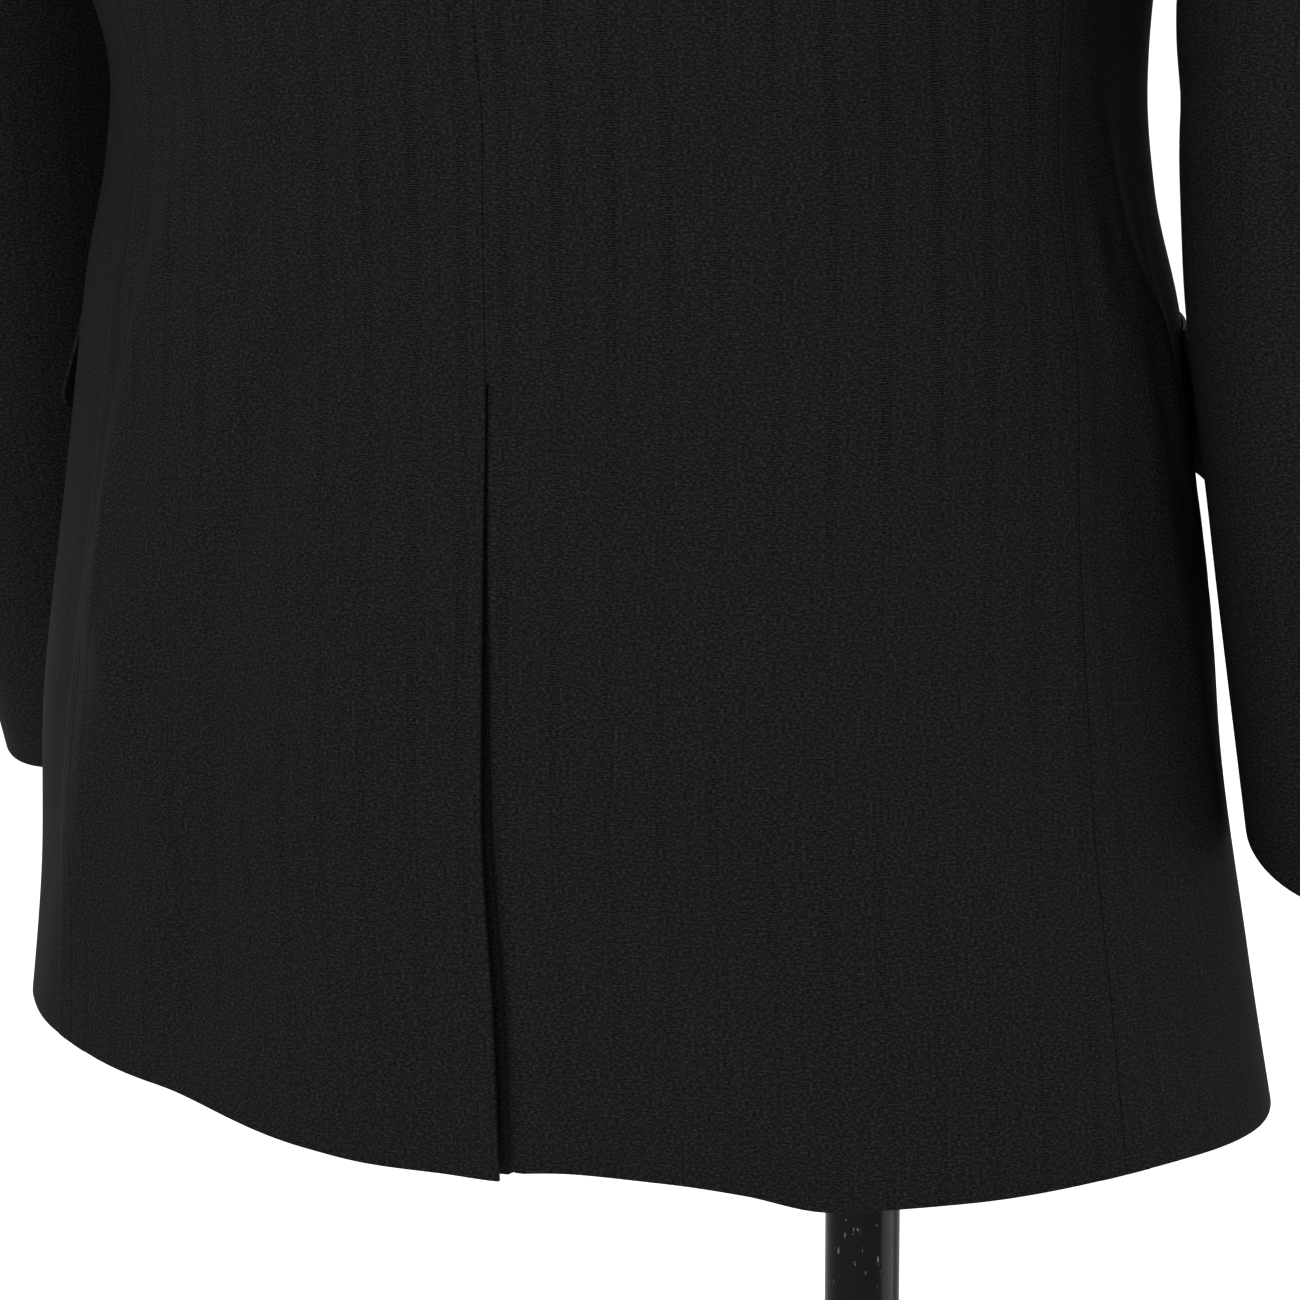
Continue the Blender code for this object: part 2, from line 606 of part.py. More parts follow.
def make_flap(side, cloth):
    """A pocket flap that hangs from its jet, a little lifted at its lower rear corner."""
    columns, rows = 8, 3
    across = np.linspace(0, 1, columns + 1)[None, :]
    down = np.linspace(0, 1, rows + 1)[:, None]
    rear = smooth_step(0.5, 0.0, across)
    out = CLOTH + POCKET_GAP + FLAP_LIFT * down**0.7 * (0.15 + 0.85 * rear) + 0.0006 * down
    angle = pocket_angles(side, across) * side
    grid = body_point(angle, FLAP_TOP - FLAP_DEPTH * down + 0 * across, out=out)[::-1]
    name = "pocket_flap_left" if side > 0 else "pocket_flap_right"
    return cloth_from_grid(name, facing_out(grid, side), cloth)


def make_jet(side, cloth):
    """The narrow jet along the pocket's mouth, above its flap."""
    columns = 8
    angle = pocket_angles(side, np.linspace(0, 1, columns + 1)[None, :]) * side
    rise = np.linspace(SEAM_GAP, JET_HEIGHT, 2)[:, None]
    grid = body_point(angle, FLAP_TOP + rise + 0 * angle, out=CLOTH + POCKET_GAP)
    name = "pocket_jet_left" if side > 0 else "pocket_jet_right"
    return cloth_from_grid(name, facing_out(grid, side), cloth, thickness=JET_WALL)


def make_turned(name, profile, centre, material, segments=24, axis="Z"):
    """A turned solid: each point of its profile is a radius and a height, from its foot to its top."""
    bm = bmesh.new()
    rings = []
    for radius, height in profile:
        turn = np.linspace(0, 2 * np.pi, segments, endpoint=False)
        ring = [bm.verts.new((radius * np.cos(t), radius * np.sin(t), height)) for t in turn]
        rings.append(ring)
    for low, high in zip(rings, rings[1:]):
        for j in range(segments):
            k = (j + 1) % segments
            bm.faces.new((low[j], low[k], high[k], high[j]))
    bm.faces.new(rings[0][::-1])
    bm.faces.new(rings[-1])
    obj = make_object(name, bm, material, smooth_angle=35.0)
    obj.location = centre
    if axis == "-Y":
        obj.rotation_euler = (np.pi / 2, 0, 0)
    return obj


def make_button(number, height, material):
    """A front button, on the left front's outer face at the centre front."""
    profile = (
        (BUTTON_RADIUS * 0.86, 0.0),
        (BUTTON_RADIUS, BUTTON_THICKNESS * 0.35),
        (BUTTON_RADIUS, BUTTON_THICKNESS * 0.8),
        (BUTTON_RADIUS * 0.92, BUTTON_THICKNESS),
        (BUTTON_RADIUS * 0.76, BUTTON_THICKNESS * 0.92),
        (BUTTON_RADIUS * 0.68, BUTTON_THICKNESS * 0.70),
    )
    seat = body_point(180.0, height, out=CLOTH + LAYER_GAP) - np.array([0, BUTTON_SHANK, 0])
    return make_turned(f"front_button_{number}", profile, seat, material, segments=18, axis="-Y")


def make_form(material):
    """The limbless torso, closed under the hips and at the top of its neck."""
    bm = bmesh.new()
    angles = np.linspace(0, 360, FORM_COLUMNS, endpoint=False)
    rings = []
    for row in FORM:
        x, y = ring_xy(FORM, angles, np.full_like(angles, row.height))
        height = HEM_HEIGHT + row.height
        rings.append([bm.verts.new((px, py, height)) for px, py in zip(x, y)])
    for low, high in zip(rings, rings[1:]):
        for j in range(FORM_COLUMNS):
            k = (j + 1) % FORM_COLUMNS
            bm.faces.new((low[j], high[j], high[k], low[k]))
    bm.faces.new(rings[0])
    bm.faces.new(rings[-1][::-1])
    return make_object("form_torso", bm, material, smooth_angle=60.0)


def make_stand(cover, paint):
    top = HEM_HEIGHT + FORM[-1].height + METAL_GAP
    lid = ((0.050, 0.0), (0.054, 0.003), (0.054, 0.009), (0.047, 0.013))
    knob = ((0.016, 0.015), (0.012, 0.019), (0.014, 0.026), (0.008, 0.031))
    make_turned("neck_cap", lid + knob, (0, -0.002, top), paint)
    foot = BASE_THICKNESS + METAL_GAP
    length = HEM_HEIGHT + FORM[0].height - METAL_GAP - foot
    make_turned("pole", ((POLE_RADIUS, 0.0), (POLE_RADIUS, length)), (POLE_X, 0, foot), paint)
    bore = POLE_RADIUS + METAL_GAP
    flange = make_turned(
        "pole_flange",
        ((FLANGE_RADIUS, 0.0), (FLANGE_RADIUS, 0.004), (0.020, 0.007), (0.0175, FLANGE_HEIGHT)),
        (POLE_X, 0, foot),
        paint,
    )
    cutter = make_turned("flange_bore", ((bore, -0.01), (bore, FLANGE_HEIGHT + 0.01)), (POLE_X, 0, foot), paint)
    cutter.hide_render = True
    cutter.display_type = "WIRE"
    cut = flange.modifiers.new("bore", "BOOLEAN")
    cut.operation = "DIFFERENCE"
    cut.object = cutter
    plate = ((BASE_RADIUS, 0.0), (BASE_RADIUS, BASE_THICKNESS - 0.002), (BASE_RADIUS - 0.002, BASE_THICKNESS))
    make_turned("base_plate", plate, (0, 0, 0), paint, segments=48)
    make_form(cover)


def main():
    clear_scene()
    cloth = make_material("suiting", (0.012, 0.012, 0.013), 0.85)
    horn = make_material("button_horn", (0.015, 0.014, 0.014), 0.35)
    paint = make_material("black_paint", (0.018, 0.018, 0.018), 0.45)
    cover = make_material("form_linen", (0.55, 0.52, 0.46), 0.9)
    for side in (1, -1):
        which = "left" if side > 0 else "right"
        make_back(side, cloth)
        make_side(side, cloth)
        make_front(side, cloth)
        make_lapel(side, cloth)
        make_flap(side, cloth)
        make_jet(side, cloth)
        top = (FOREARM_SEAM - 360, HINDARM_SEAM, TOP_SLEEVE_COLUMNS)
        under = (HINDARM_SEAM, FOREARM_SEAM, UNDER_SLEEVE_COLUMNS)
        make_sleeve(f"top_sleeve_{which}", side, *top, cloth)
        make_sleeve(f"under_sleeve_{which}", side, *under, cloth)
    make_collar(cloth)
    for number, height in enumerate(BUTTON_HEIGHTS, start=1):
        make_button(number, height, horn)
    make_stand(cover, paint)


main()
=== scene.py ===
"""Looks of the shadow stripe suit jacket on its dress form.

The origin is on the floor under the jacket's centre. +Z is up, the back of the jacket faces +Y
and the wearer's left is +X. Heights named in the tables are measured up from the jacket's hem.
An angle is measured round the body from the centre back, 0, to the wearer's left, +90, or
to the wearer's right, -90, and on to the centre front, 180.
"""

from collections import namedtuple

import bmesh
import bpy
import numpy as np
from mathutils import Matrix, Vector


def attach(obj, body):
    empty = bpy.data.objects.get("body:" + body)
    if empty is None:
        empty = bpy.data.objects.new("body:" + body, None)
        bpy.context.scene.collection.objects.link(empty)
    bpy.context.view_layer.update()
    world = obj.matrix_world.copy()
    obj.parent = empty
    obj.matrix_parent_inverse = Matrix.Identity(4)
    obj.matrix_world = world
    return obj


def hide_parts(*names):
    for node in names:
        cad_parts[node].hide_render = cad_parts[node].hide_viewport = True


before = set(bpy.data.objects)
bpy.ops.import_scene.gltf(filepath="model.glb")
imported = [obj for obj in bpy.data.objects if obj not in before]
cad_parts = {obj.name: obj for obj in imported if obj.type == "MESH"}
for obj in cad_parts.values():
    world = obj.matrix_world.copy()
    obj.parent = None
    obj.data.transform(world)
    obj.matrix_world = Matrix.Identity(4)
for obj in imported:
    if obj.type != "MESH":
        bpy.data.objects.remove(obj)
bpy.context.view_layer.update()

# Driving dimensions of the garment, in metres and degrees.
HEM_HEIGHT = 0.800
CLOTH = 0.0018
SEAM_GAP = 0.00008
SLEEVE_GAP = 0.00003
ARMHOLE_SEAM_GAP = 0.00015
LAYER_GAP = 0.0007

NECK_SEAM = 0.757
SHOULDER_TIP = 0.698
ARMHOLE_MIDDLE = 0.600
ARMHOLE_HALF_HEIGHT = SHOULDER_TIP - ARMHOLE_MIDDLE
ARMHOLE_HALF_ANGLE = 19.0
ARMHOLE_JOIN_ANGLE = 17.0
ARMHOLE_JOIN = 0.5563
SHOULDER_SEAM_AT_NECK = 86.0

VENT_TOP = 0.2555
VENT_LAP = 0.034
LAP_INSET = CLOTH + 2 * LAYER_GAP
LAP_DEEPER_AT_HEM = 0.0024
LAP_DEEPEST_AT = 0.15
LAP_BLEND = 0.0070
LAP_BLEND_AT_TOP = 0.0022
LAP_BLEND_WIDEST_AT = 0.04
LAP_FULL_FROM = 0.001
VENT_LIFT = 0.0018
VENT_LIFT_REACH = 0.022
VENT_LIFT_FADE = 0.01
VENT_LIFT_FULL_AT = 0.07
VENT_TAPER = 0.004
HEM_WAVE_REACH = 0.12
PRESSED_WIDTH = 0.009
PRESSED_RISE = 0.00030
CENTRE_SEAM_SHARE = 0.5

FRONT_OVERLAP = 0.018
BREAK_HEIGHT = 0.372
CUTAWAY_START = 0.225
CUTAWAY_REACH = 0.082
CUTAWAY_CURVE = 2.2
CUTAWAY_CORNER = 0.040
CUTAWAY_CORNER_TOP = 0.16
CUTAWAY_CORNER_FROM = 0.45
LAP_STARTS_AT, LAP_FULL_AT = 0.03, 0.10
LAP_REACH, LAP_FULL_WITHIN = 0.044, 0.004
LAPEL_ROOM = 1.4
LAPEL_ROOM_FADE = 0.05
CROSSING_FADE = 0.12
GORGE_HEIGHT = 0.712
GORGE_X = 0.063
ROLL_RISE = GORGE_HEIGHT - BREAK_HEIGHT
CROSSING = BREAK_HEIGHT + ROLL_RISE * FRONT_OVERLAP / (GORGE_X + FRONT_OVERLAP)
NECK_POINT_X = 0.0765
FRONT_TOP = 0.754

LAPEL_START = 0.02
LAPEL_TIP_X = 0.121
LAPEL_TIP_HEIGHT = 0.628
LAPEL_BELLY = 0.012
LAPEL_ROLL = 0.0035
LAPEL_ROLL_SHARE = 0.22
LAPEL_SWELL = 0.0012

STAND_HEIGHT = 0.028
LEAF_DEPTH = 0.042
COLLAR_WALL = 0.0020
COLLAR_FOLD = 0.0034
COLLAR_BACK_SHARE = 0.60
STAND_LOWER_IN_FRONT = 0.80
STAND_FOOT_IN, STAND_FOOT_UP = 0.003, 0.001
STAND_LEAN = 0.003
LEAF_GAP = 0.003
LEAF_BULGE_BEHIND, LEAF_BULGE_AHEAD = 0.0015, 0.0035

SLEEVE_LENGTH = 0.60
SLEEVE_RADIUS = 0.06
SLEEVE_CUFF_EDGE = 0.0016
SLEEVE_HEAD_ROUND = 0.19
SLEEVE_HEAD_END = 0.35
SLEEVE_TIP_LIFT = 0.25 * CLOTH
HINDARM_SEAM = 118.0
FOREARM_SEAM = 232.0

FLAP_REAR_ANGLE = 92.0
FLAP_FRONT_ANGLE = 139.0
FLAP_TURN = 3.5
FLAP_TOP = 0.253
FLAP_DEPTH = 0.050
FLAP_CORNER = 0.009
FLAP_EDGE_SHARE = 0.016
FLAP_LIFT_LEFT, FLAP_LIFT_RIGHT = 0.0064, 0.0036
FLAP_FLARE = 0.0006
FLAP_ROUNDNESS = 0.86
POCKET_GAP = 0.0006
JET_HEIGHT = 0.005
JET_WALL = 0.0011

BUTTON_HEIGHTS = (0.352, 0.245)
BUTTON_RADIUS = 0.010
BUTTON_THICKNESS = 0.0035
BUTTON_DISH = 0.70
BUTTON_SHANK = 0.0003
BUTTON_RIM_FROM, BUTTON_RIM_TO = 0.60, 0.80
BUTTON_EDGE = ((0.975, 0.955), (1.0, 0.80), (1.0, 0.40), (0.95, 0.14), (0.86, 0.0))
HOLE_RING = 0.0021
HOLE_RADIUS = 0.00085
HOLE_DEPTH = 0.0019

HIPS_TOP = 0.10
NECK_TOP_SHARE = 0.93
POLE_X = -0.0828
POLE_RADIUS = 0.0125
FLANGE_RADIUS = 0.034
FLANGE_HEIGHT = 0.026
FLANGE_HUB = 0.020
BASE_RADIUS = 0.190
BASE_THICKNESS = 0.008
METAL_GAP = 0.0003


def table(fields, *rows):
    """A table whose columns are read by their names."""
    row = namedtuple("Row", fields)
    return tuple(row(*values) for values in rows)


# One row for each section of the jacket's body.
BODY = table(
    "height half_width back front squareness sideways",
    (-0.020, 0.2181, 0.128, 0.140, 1.90, -0.0038),
    (0.050, 0.2082, 0.128, 0.136, 1.90, -0.0014),
    (0.120, 0.2012, 0.128, 0.132, 1.90, 0.0024),
    (0.200, 0.1911, 0.128, 0.128, 1.90, 0.0016),
    (0.260, 0.1845, 0.128, 0.124, 1.90, 0.0004),
    (0.300, 0.1759, 0.128, 0.120, 1.90, 0.0008),
    (0.335, 0.1726, 0.128, 0.118, 1.92, 0.0011),
    (0.380, 0.1775, 0.128, 0.118, 1.95, 0.0035),
    (0.440, 0.1840, 0.130, 0.122, 2.02, 0.0020),
    (0.500, 0.1920, 0.131, 0.127, 2.10, 0.0),
    (0.560, 0.2005, 0.128, 0.125, 2.10, 0.0),
    (0.620, 0.2075, 0.120, 0.113, 2.00, 0.0),
    (0.670, 0.2120, 0.107, 0.092, 1.82, 0.0),
    (0.692, 0.2100, 0.100, 0.079, 1.72, 0.0),
    (0.706, 0.1880, 0.096, 0.070, 1.72, 0.0),
    (0.723, 0.1480, 0.090, 0.059, 1.80, 0.0),
    (0.740, 0.1090, 0.083, 0.050, 1.90, 0.0),
    (0.757, 0.0765, 0.073, 0.044, 2.00, 0.0),
)

# Sections of the dress form, smaller than the jacket all round, up to the top of its neck.
FORM = table(
    "height half_width back front squareness",
    (0.055, 0.160, 0.102, 0.106, 2.10),
    (0.062, 0.172, 0.110, 0.114, 2.10),
    (0.085, 0.178, 0.113, 0.117, 2.10),
    (0.150, 0.180, 0.114, 0.116, 2.10),
    (0.200, 0.175, 0.113, 0.113, 2.10),
    (0.260, 0.164, 0.110, 0.107, 2.05),
    (0.335, 0.152, 0.108, 0.101, 2.00),
    (0.400, 0.155, 0.110, 0.103, 2.00),
    (0.500, 0.172, 0.117, 0.112, 2.10),
    (0.560, 0.183, 0.117, 0.114, 2.10),
    (0.620, 0.1920, 0.110, 0.103, 2.00),
    (0.665, 0.1990, 0.101, 0.087, 1.84),
    (0.690, 0.2000, 0.094, 0.074, 1.74),
    (0.698, 0.1960, 0.092, 0.070, 1.72),
    (0.713, 0.1698, 0.088, 0.060, 1.74),
    (0.728, 0.1336, 0.083, 0.051, 1.82),
    (0.742, 0.1020, 0.077, 0.045, 1.91),
    (0.753, 0.0740, 0.067, 0.041, 2.00),
    (0.768, 0.0590, 0.058, 0.044, 2.00),
    (0.805, 0.0570, 0.054, 0.050, 2.00),
)

# The side-back seams and the side-front seams, as angles round the body.
SEAMS = table(
    "height left right front",
    (0.000, 68.0, 72.5, 113.0),
    (0.120, 66.5, 72.8, 112.0),
    (0.220, 64.5, 73.0, 110.5),
    (0.300, 63.0, 74.0, 109.0),
    (0.400, 65.0, 74.0, 107.5),
    (0.5563, 73.0, 73.0, 107.0),
)

# How far the hem dips below its level, round the body.
HEM = table(
    "angle drop",
    (-180.0, 0.004),
    (-120.0, 0.000),
    (-100.0, 0.002),
    (-80.0, 0.0014),
    (-58.0, 0.0066),
    (-44.0, 0.0080),
    (-34.0, 0.0030),
    (-24.0, 0.0006),
    (-12.0, -0.0004),
    (-2.5, 0.0014),
    (0.0, 0.0040),
    (20.0, 0.0047),
    (31.0, 0.0042),
    (54.0, -0.0026),
    (63.0, -0.0034),
    (78.0, -0.0062),
    (120.0, 0.000),
    (180.0, 0.004),
)

# Soft folds of the hanging cloth: a ridge has a positive rise and a trough a negative one.
# low and high are its ends, in height, and the angles say where each end lies.
FOLDS = table(
    "low angle_low high angle_high width rise",
    (0.02, 72.0, 0.34, 40.0, 0.017, 0.0036),
    (0.10, 52.0, 0.30, 30.0, 0.026, -0.0030),
    (-0.04, 22.0, 0.22, 16.0, 0.030, 0.0022),
    (-0.04, -42.0, 0.24, -30.0, 0.034, 0.0026),
    (0.26, -92.0, 0.46, -84.0, 0.022, -0.0050),
    (0.14, -98.0, 0.34, -80.0, 0.007, 0.0018),
    (0.12, -90.0, 0.32, -77.0, 0.006, 0.0014),
    (0.30, -40.0, 0.48, -62.0, 0.024, 0.0026),
    (0.30, 30.0, 0.48, 56.0, 0.022, 0.0026),
    (0.28, 20.0, 0.40, -20.0, 0.020, -0.0012),
    (0.345, 84.0, 0.45, 80.0, 0.045, 0.0065),
    (0.46, 30.0, 0.62, 58.0, 0.022, 0.0030),
    (0.46, -32.0, 0.62, -60.0, 0.022, 0.0032),
    (0.16, 122.0, 0.42, 140.0, 0.026, 0.0024),
    (0.14, -124.0, 0.40, -142.0, 0.026, 0.0026),
    (0.30, 150.0, 0.40, 118.0, 0.016, 0.0026),
    (0.30, -152.0, 0.40, -116.0, 0.016, 0.0024),
)

# Finer creases, each along a bent line through three places given by height and angle.
# A crease can be steeper on one side: its widths are given towards the wearer's left and right.
CREASES = table(
    "low angle_low middle angle_middle high angle_high leftward rightward rise",
    (0.145, 65.6, 0.235, 59.8, 0.300, 52.0, 0.0070, 0.0120, 0.0028),
    (0.262, 59.0, 0.320, 49.0, 0.410, 44.5, 0.0150, 0.0090, 0.0018),
    (0.160, 48.8, 0.241, 40.5, 0.305, 28.5, 0.0140, 0.0110, 0.0026),
    (0.170, 57.0, 0.230, 51.5, 0.290, 44.0, 0.0090, 0.0090, -0.0014),
    (0.300, 20.0, 0.350, 17.6, 0.400, 15.4, 0.0110, 0.0110, 0.0007),
    (0.088, 53.0, 0.125, 57.2, 0.158, 62.5, 0.0130, 0.0070, 0.0018),
    (0.000, 51.0, 0.085, 46.0, 0.165, 38.0, 0.0190, 0.0340, -0.0044),
    (0.225, -79.0, 0.270, -78.2, 0.320, -79.0, 0.0036, 0.0040, 0.0008),
    (0.205, -86.0, 0.265, -82.9, 0.330, -83.0, 0.0036, 0.0040, 0.0009),
    (0.215, -88.5, 0.258, -87.5, 0.300, -91.0, 0.0036, 0.0036, 0.0007),
    (0.110, -51.5, 0.240, -38.0, 0.385, -14.0, 0.0420, 0.0420, 0.0016),
    (0.020, -60.0, 0.045, -56.5, 0.075, -53.0, 0.0160, 0.0160, -0.0006),
    (0.330, 6.0, 0.450, 24.0, 0.560, 44.0, 0.0190, 0.0130, 0.0013),
    (0.350, -10.0, 0.470, -30.0, 0.570, -47.0, 0.0130, 0.0180, 0.0012),
    (0.400, 62.0, 0.470, 60.0, 0.560, 66.0, 0.0120, 0.0080, 0.0016),
    (0.410, -63.0, 0.480, -60.0, 0.570, -66.0, 0.0080, 0.0120, 0.0016),
    (0.180, 118.0, 0.290, 126.0, 0.380, 146.0, 0.0080, 0.0140, 0.0016),
    (0.120, -118.0, 0.280, -128.0, 0.370, -150.0, 0.0130, 0.0080, 0.0015),
    (0.330, 112.0, 0.350, 140.0, 0.362, 168.0, 0.0080, 0.0080, 0.0009),
    (0.320, -112.0, 0.346, -138.0, 0.360, -166.0, 0.0090, 0.0090, 0.0010),
    (0.010, 128.0, 0.100, 132.0, 0.190, 138.0, 0.0140, 0.0200, 0.0012),
    (0.010, -126.0, 0.100, -134.0, 0.200, -140.0, 0.0210, 0.0150, 0.0011),
)

# Creases of the sleeves: each runs from one place to another, given by how far along the sleeve
# it lies and by its turn round it. The angles count from the outermost point towards the back.
SLEEVE_CREASES = table(
    "side along_start around_start along_end around_end width rise",
    (1, 0.46, 40.0, 0.60, 130.0, 0.012, 0.0020),
    (1, 0.54, 60.0, 0.70, 165.0, 0.014, -0.0018),
    (1, 0.60, 85.0, 0.74, 185.0, 0.011, 0.0016),
    (1, 0.58, -40.0, 0.64, -110.0, 0.012, 0.0022),
    (1, 0.66, -60.0, 0.63, -150.0, 0.010, 0.0018),
    (1, 0.16, 60.0, 0.34, 130.0, 0.016, 0.0016),
    (1, 0.14, -50.0, 0.32, -120.0, 0.016, 0.0018),
    (-1, 0.50, 60.0, 0.62, 150.0, 0.014, 0.0015),
    (-1, 0.57, 80.0, 0.72, 175.0, 0.013, -0.0012),
    (-1, 0.60, -50.0, 0.63, -130.0, 0.012, 0.0017),
    (-1, 0.55, -70.0, 0.57, -150.0, 0.010, 0.0013),
    (-1, 0.15, 55.0, 0.36, 125.0, 0.017, 0.0015),
    (-1, 0.13, -55.0, 0.33, -125.0, 0.015, 0.0017),
)

# The leaf's lower edge, from the shoulder, where ahead is 0, past its tip to the gorge, at 1.
COLLAR_EDGE = table(
    "ahead x height",
    (0.00, 0.0890, 0.7505),
    (0.40, 0.1030, 0.7210),
    (0.80, 0.1210, 0.6790),
    (1.00, 0.0980, 0.6620),
)

# Sections of the right sleeve, each from its point next to the body to its outermost point.
# A section's back edge is lower than its middle by back_drop, and its front edge higher.
SLEEVE = table(
    "inner_x inner_height outer_x outer_height middle_y half_depth back_drop",
    (0.1985, 0.494, 0.2390, 0.6960, 0.003, 0.072, 0.000),
    (0.1990, 0.478, 0.2590, 0.6640, 0.003, 0.078, 0.000),
    (0.1985, 0.458, 0.2700, 0.6100, 0.001, 0.080, 0.000),
    (0.1960, 0.430, 0.2760, 0.5400, -0.004, 0.079, 0.002),
    (0.1900, 0.398, 0.2780, 0.4600, -0.010, 0.074, 0.004),
    (0.1845, 0.354, 0.2770, 0.3740, -0.021, 0.070, 0.007),
    (0.1862, 0.288, 0.2800, 0.2900, -0.024, 0.065, 0.009),
    (0.1953, 0.200, 0.2850, 0.1930, -0.029, 0.060, 0.010),
    (0.2054, 0.097, 0.2880, 0.0800, -0.041, 0.053, 0.010),
)

# How far the left sleeve hangs off the right one's mirror image, from the shoulder to the cuff.
LEFT_SLEEVE_SHIFT = table(
    "along out forward down",
    (0.00, 0.000, 0.000, 0.000),
    (0.35, 0.004, 0.002, 0.000),
    (0.60, 0.008, 0.014, 0.000),
    (0.78, 0.003, 0.030, 0.001),
    (0.89, -0.006, 0.040, 0.004),
    (1.00, -0.027, 0.050, 0.012),
)

# What each piece of cloth was cut to, in metres and square metres, as far as it shows.
CUT = table(
    "node width length area held rests_on",
    ("back_left", 0.239, 0.757, 0.1435, "draped", "form_torso"),
    ("back_right", 0.273, 0.757, 0.1660, "draped", "form_torso"),
    ("side_left", 0.170, 0.556, 0.0780, "draped", "form_torso"),
    ("side_right", 0.168, 0.556, 0.0657, "draped", "form_torso"),
    ("front_left", 0.244, 0.754, 0.1344, "draped", "form_torso"),
    ("front_right", 0.244, 0.754, 0.1343, "draped", "form_torso"),
    ("lapel_left", 0.107, 0.333, 0.0171, "folded", "front_left"),
    ("lapel_right", 0.107, 0.333, 0.0170, "folded", "front_right"),
    ("collar", 0.489, 0.093, 0.0326, "folded", "form_torso"),
    ("top_sleeve_left", 0.392, 0.678, 0.1599, "hung", "back_left"),
    ("top_sleeve_right", 0.392, 0.658, 0.1538, "hung", "back_right"),
    ("under_sleeve_left", 0.167, 0.432, 0.0568, "hung", "side_left"),
    ("under_sleeve_right", 0.167, 0.413, 0.0546, "hung", "side_right"),
    ("pocket_flap_left", 0.159, 0.050, 0.0078, "hung", "pocket_jet_left"),
    ("pocket_flap_right", 0.155, 0.050, 0.0076, "hung", "pocket_jet_right"),
    ("pocket_jet_left", 0.145, 0.010, 0.0009, "laid", "front_left"),
    ("pocket_jet_right", 0.140, 0.010, 0.0009, "laid", "front_right"),
)

# Fineness of the cloth meshes, how round their edges are, and where they need closer columns.
ROW_SPACING = 0.0055
COLUMN_SPACING = 0.0048
LAPEL_SPACING = 0.0032
POCKET_SPACING = 0.003
DENSE = 161
SEAM_ROUND = 0.0005
SLEEVE_ROUND = 0.00015
FREE_ROUND = 0.0008
ROUND_SEGMENTS = 96
LAPEL_ROUND = 0.0006
COLLAR_ROUND = 0.0007
JET_ROUND = 0.0005
VENT_CORNERS = (VENT_TOP - VENT_TAPER, VENT_TOP, VENT_TOP + VENT_TAPER)
ROW_STOPS = (*VENT_CORNERS, ARMHOLE_JOIN, 0.66, 0.685, SHOULDER_TIP, NECK_SEAM)
PRESSED_COLUMNS = (0.0020, 0.0045, 0.0070, 0.0078, 0.0088, 0.0098, 0.0108)
UNDERLAP_COLUMNS = np.linspace(0.004, VENT_LAP, 7)[:-1]
LAP_COLUMNS = (0.0012, 0.0020, 0.0030, 0.0042, 0.0058, 0.0078, 0.0098, 0.0120, 0.0145)


def side_name(side):
    return "left" if side > 0 else "right"


def smooth_curve(knots, values, at):
    """A smooth curve through a table's values, which never swings past them."""
    knots, values = np.asarray(knots, float), np.asarray(values, float)
    slopes = np.diff(values) / np.diff(knots)
    before, after = slopes[:-1], slopes[1:]
    total = before + after
    one_way = before * after > 0
    inner = np.where(one_way, 2 * before * after / np.where(one_way, total, 1), 0)
    tangents = np.concatenate([slopes[:1], inner, slopes[-1:]])
    at = np.asarray(at, float)
    i = np.clip(np.searchsorted(knots, at, side="right") - 1, 0, len(knots) - 2)
    span = knots[i + 1] - knots[i]
    t = np.clip((at - knots[i]) / span, 0, 1)
    start = (1 + 2 * t) * (1 - t) ** 2 * values[i] + t * (1 - t) ** 2 * span * tangents[i]
    end = t**2 * (3 - 2 * t) * values[i + 1] + t**2 * (t - 1) * span * tangents[i + 1]
    return start + end


def column(table, name, at, key="height"):
    """A table's column, read as a smooth curve of its key column."""
    return smooth_curve([getattr(row, key) for row in table], [getattr(row, name) for row in table], at)


def smooth_step(low, high, value):
    t = np.clip((value - low) / (high - low), 0, 1)
    return t * t * (3 - 2 * t)


def bell(away, width):
    return np.exp(-((away / width) ** 2))


def fade(along, before, within):
    """A crease's fade at its two ends, from before each end to a place within it."""
    return smooth_step(-before, within, along) * smooth_step(1 + before, 1 - within, along)


def turn_from(centre, angle):
    """How far an angle lies from a centre, up to half a turn either way."""
    return np.mod(angle - centre + 180, 360) - 180


def unit(vectors):
    return vectors / np.maximum(np.linalg.norm(vectors, axis=-1, keepdims=True), 1e-12)


def arc_along(points):
    """How far along its row each point lies."""
    steps = np.linalg.norm(np.diff(points, axis=-2), axis=-1)
    return np.concatenate([np.zeros(steps.shape[:-1] + (1,)), np.cumsum(steps, axis=-1)], axis=-1)


def ring_xy(table, angle, height):
    """A section's outline: a squared ellipse with its own depth at the back and at the front."""
    turn = np.radians(angle)
    half_width = column(table, "half_width", height)
    back, front = column(table, "back", height), column(table, "front", height)
    depth = np.where(np.cos(turn) > 0, back, front)
    power = column(table, "squareness", height)
    across = np.abs(np.sin(turn) / half_width) ** power
    along = np.abs(np.cos(turn) / depth) ** power
    radius = (across + along) ** (-1 / power)
    return radius * np.sin(turn), radius * np.cos(turn)


def plain_body(angle, height):
    x, y = ring_xy(BODY, angle, height)
    return np.stack([x + column(BODY, "sideways", height), y, HEM_HEIGHT + height + 0 * x], -1)


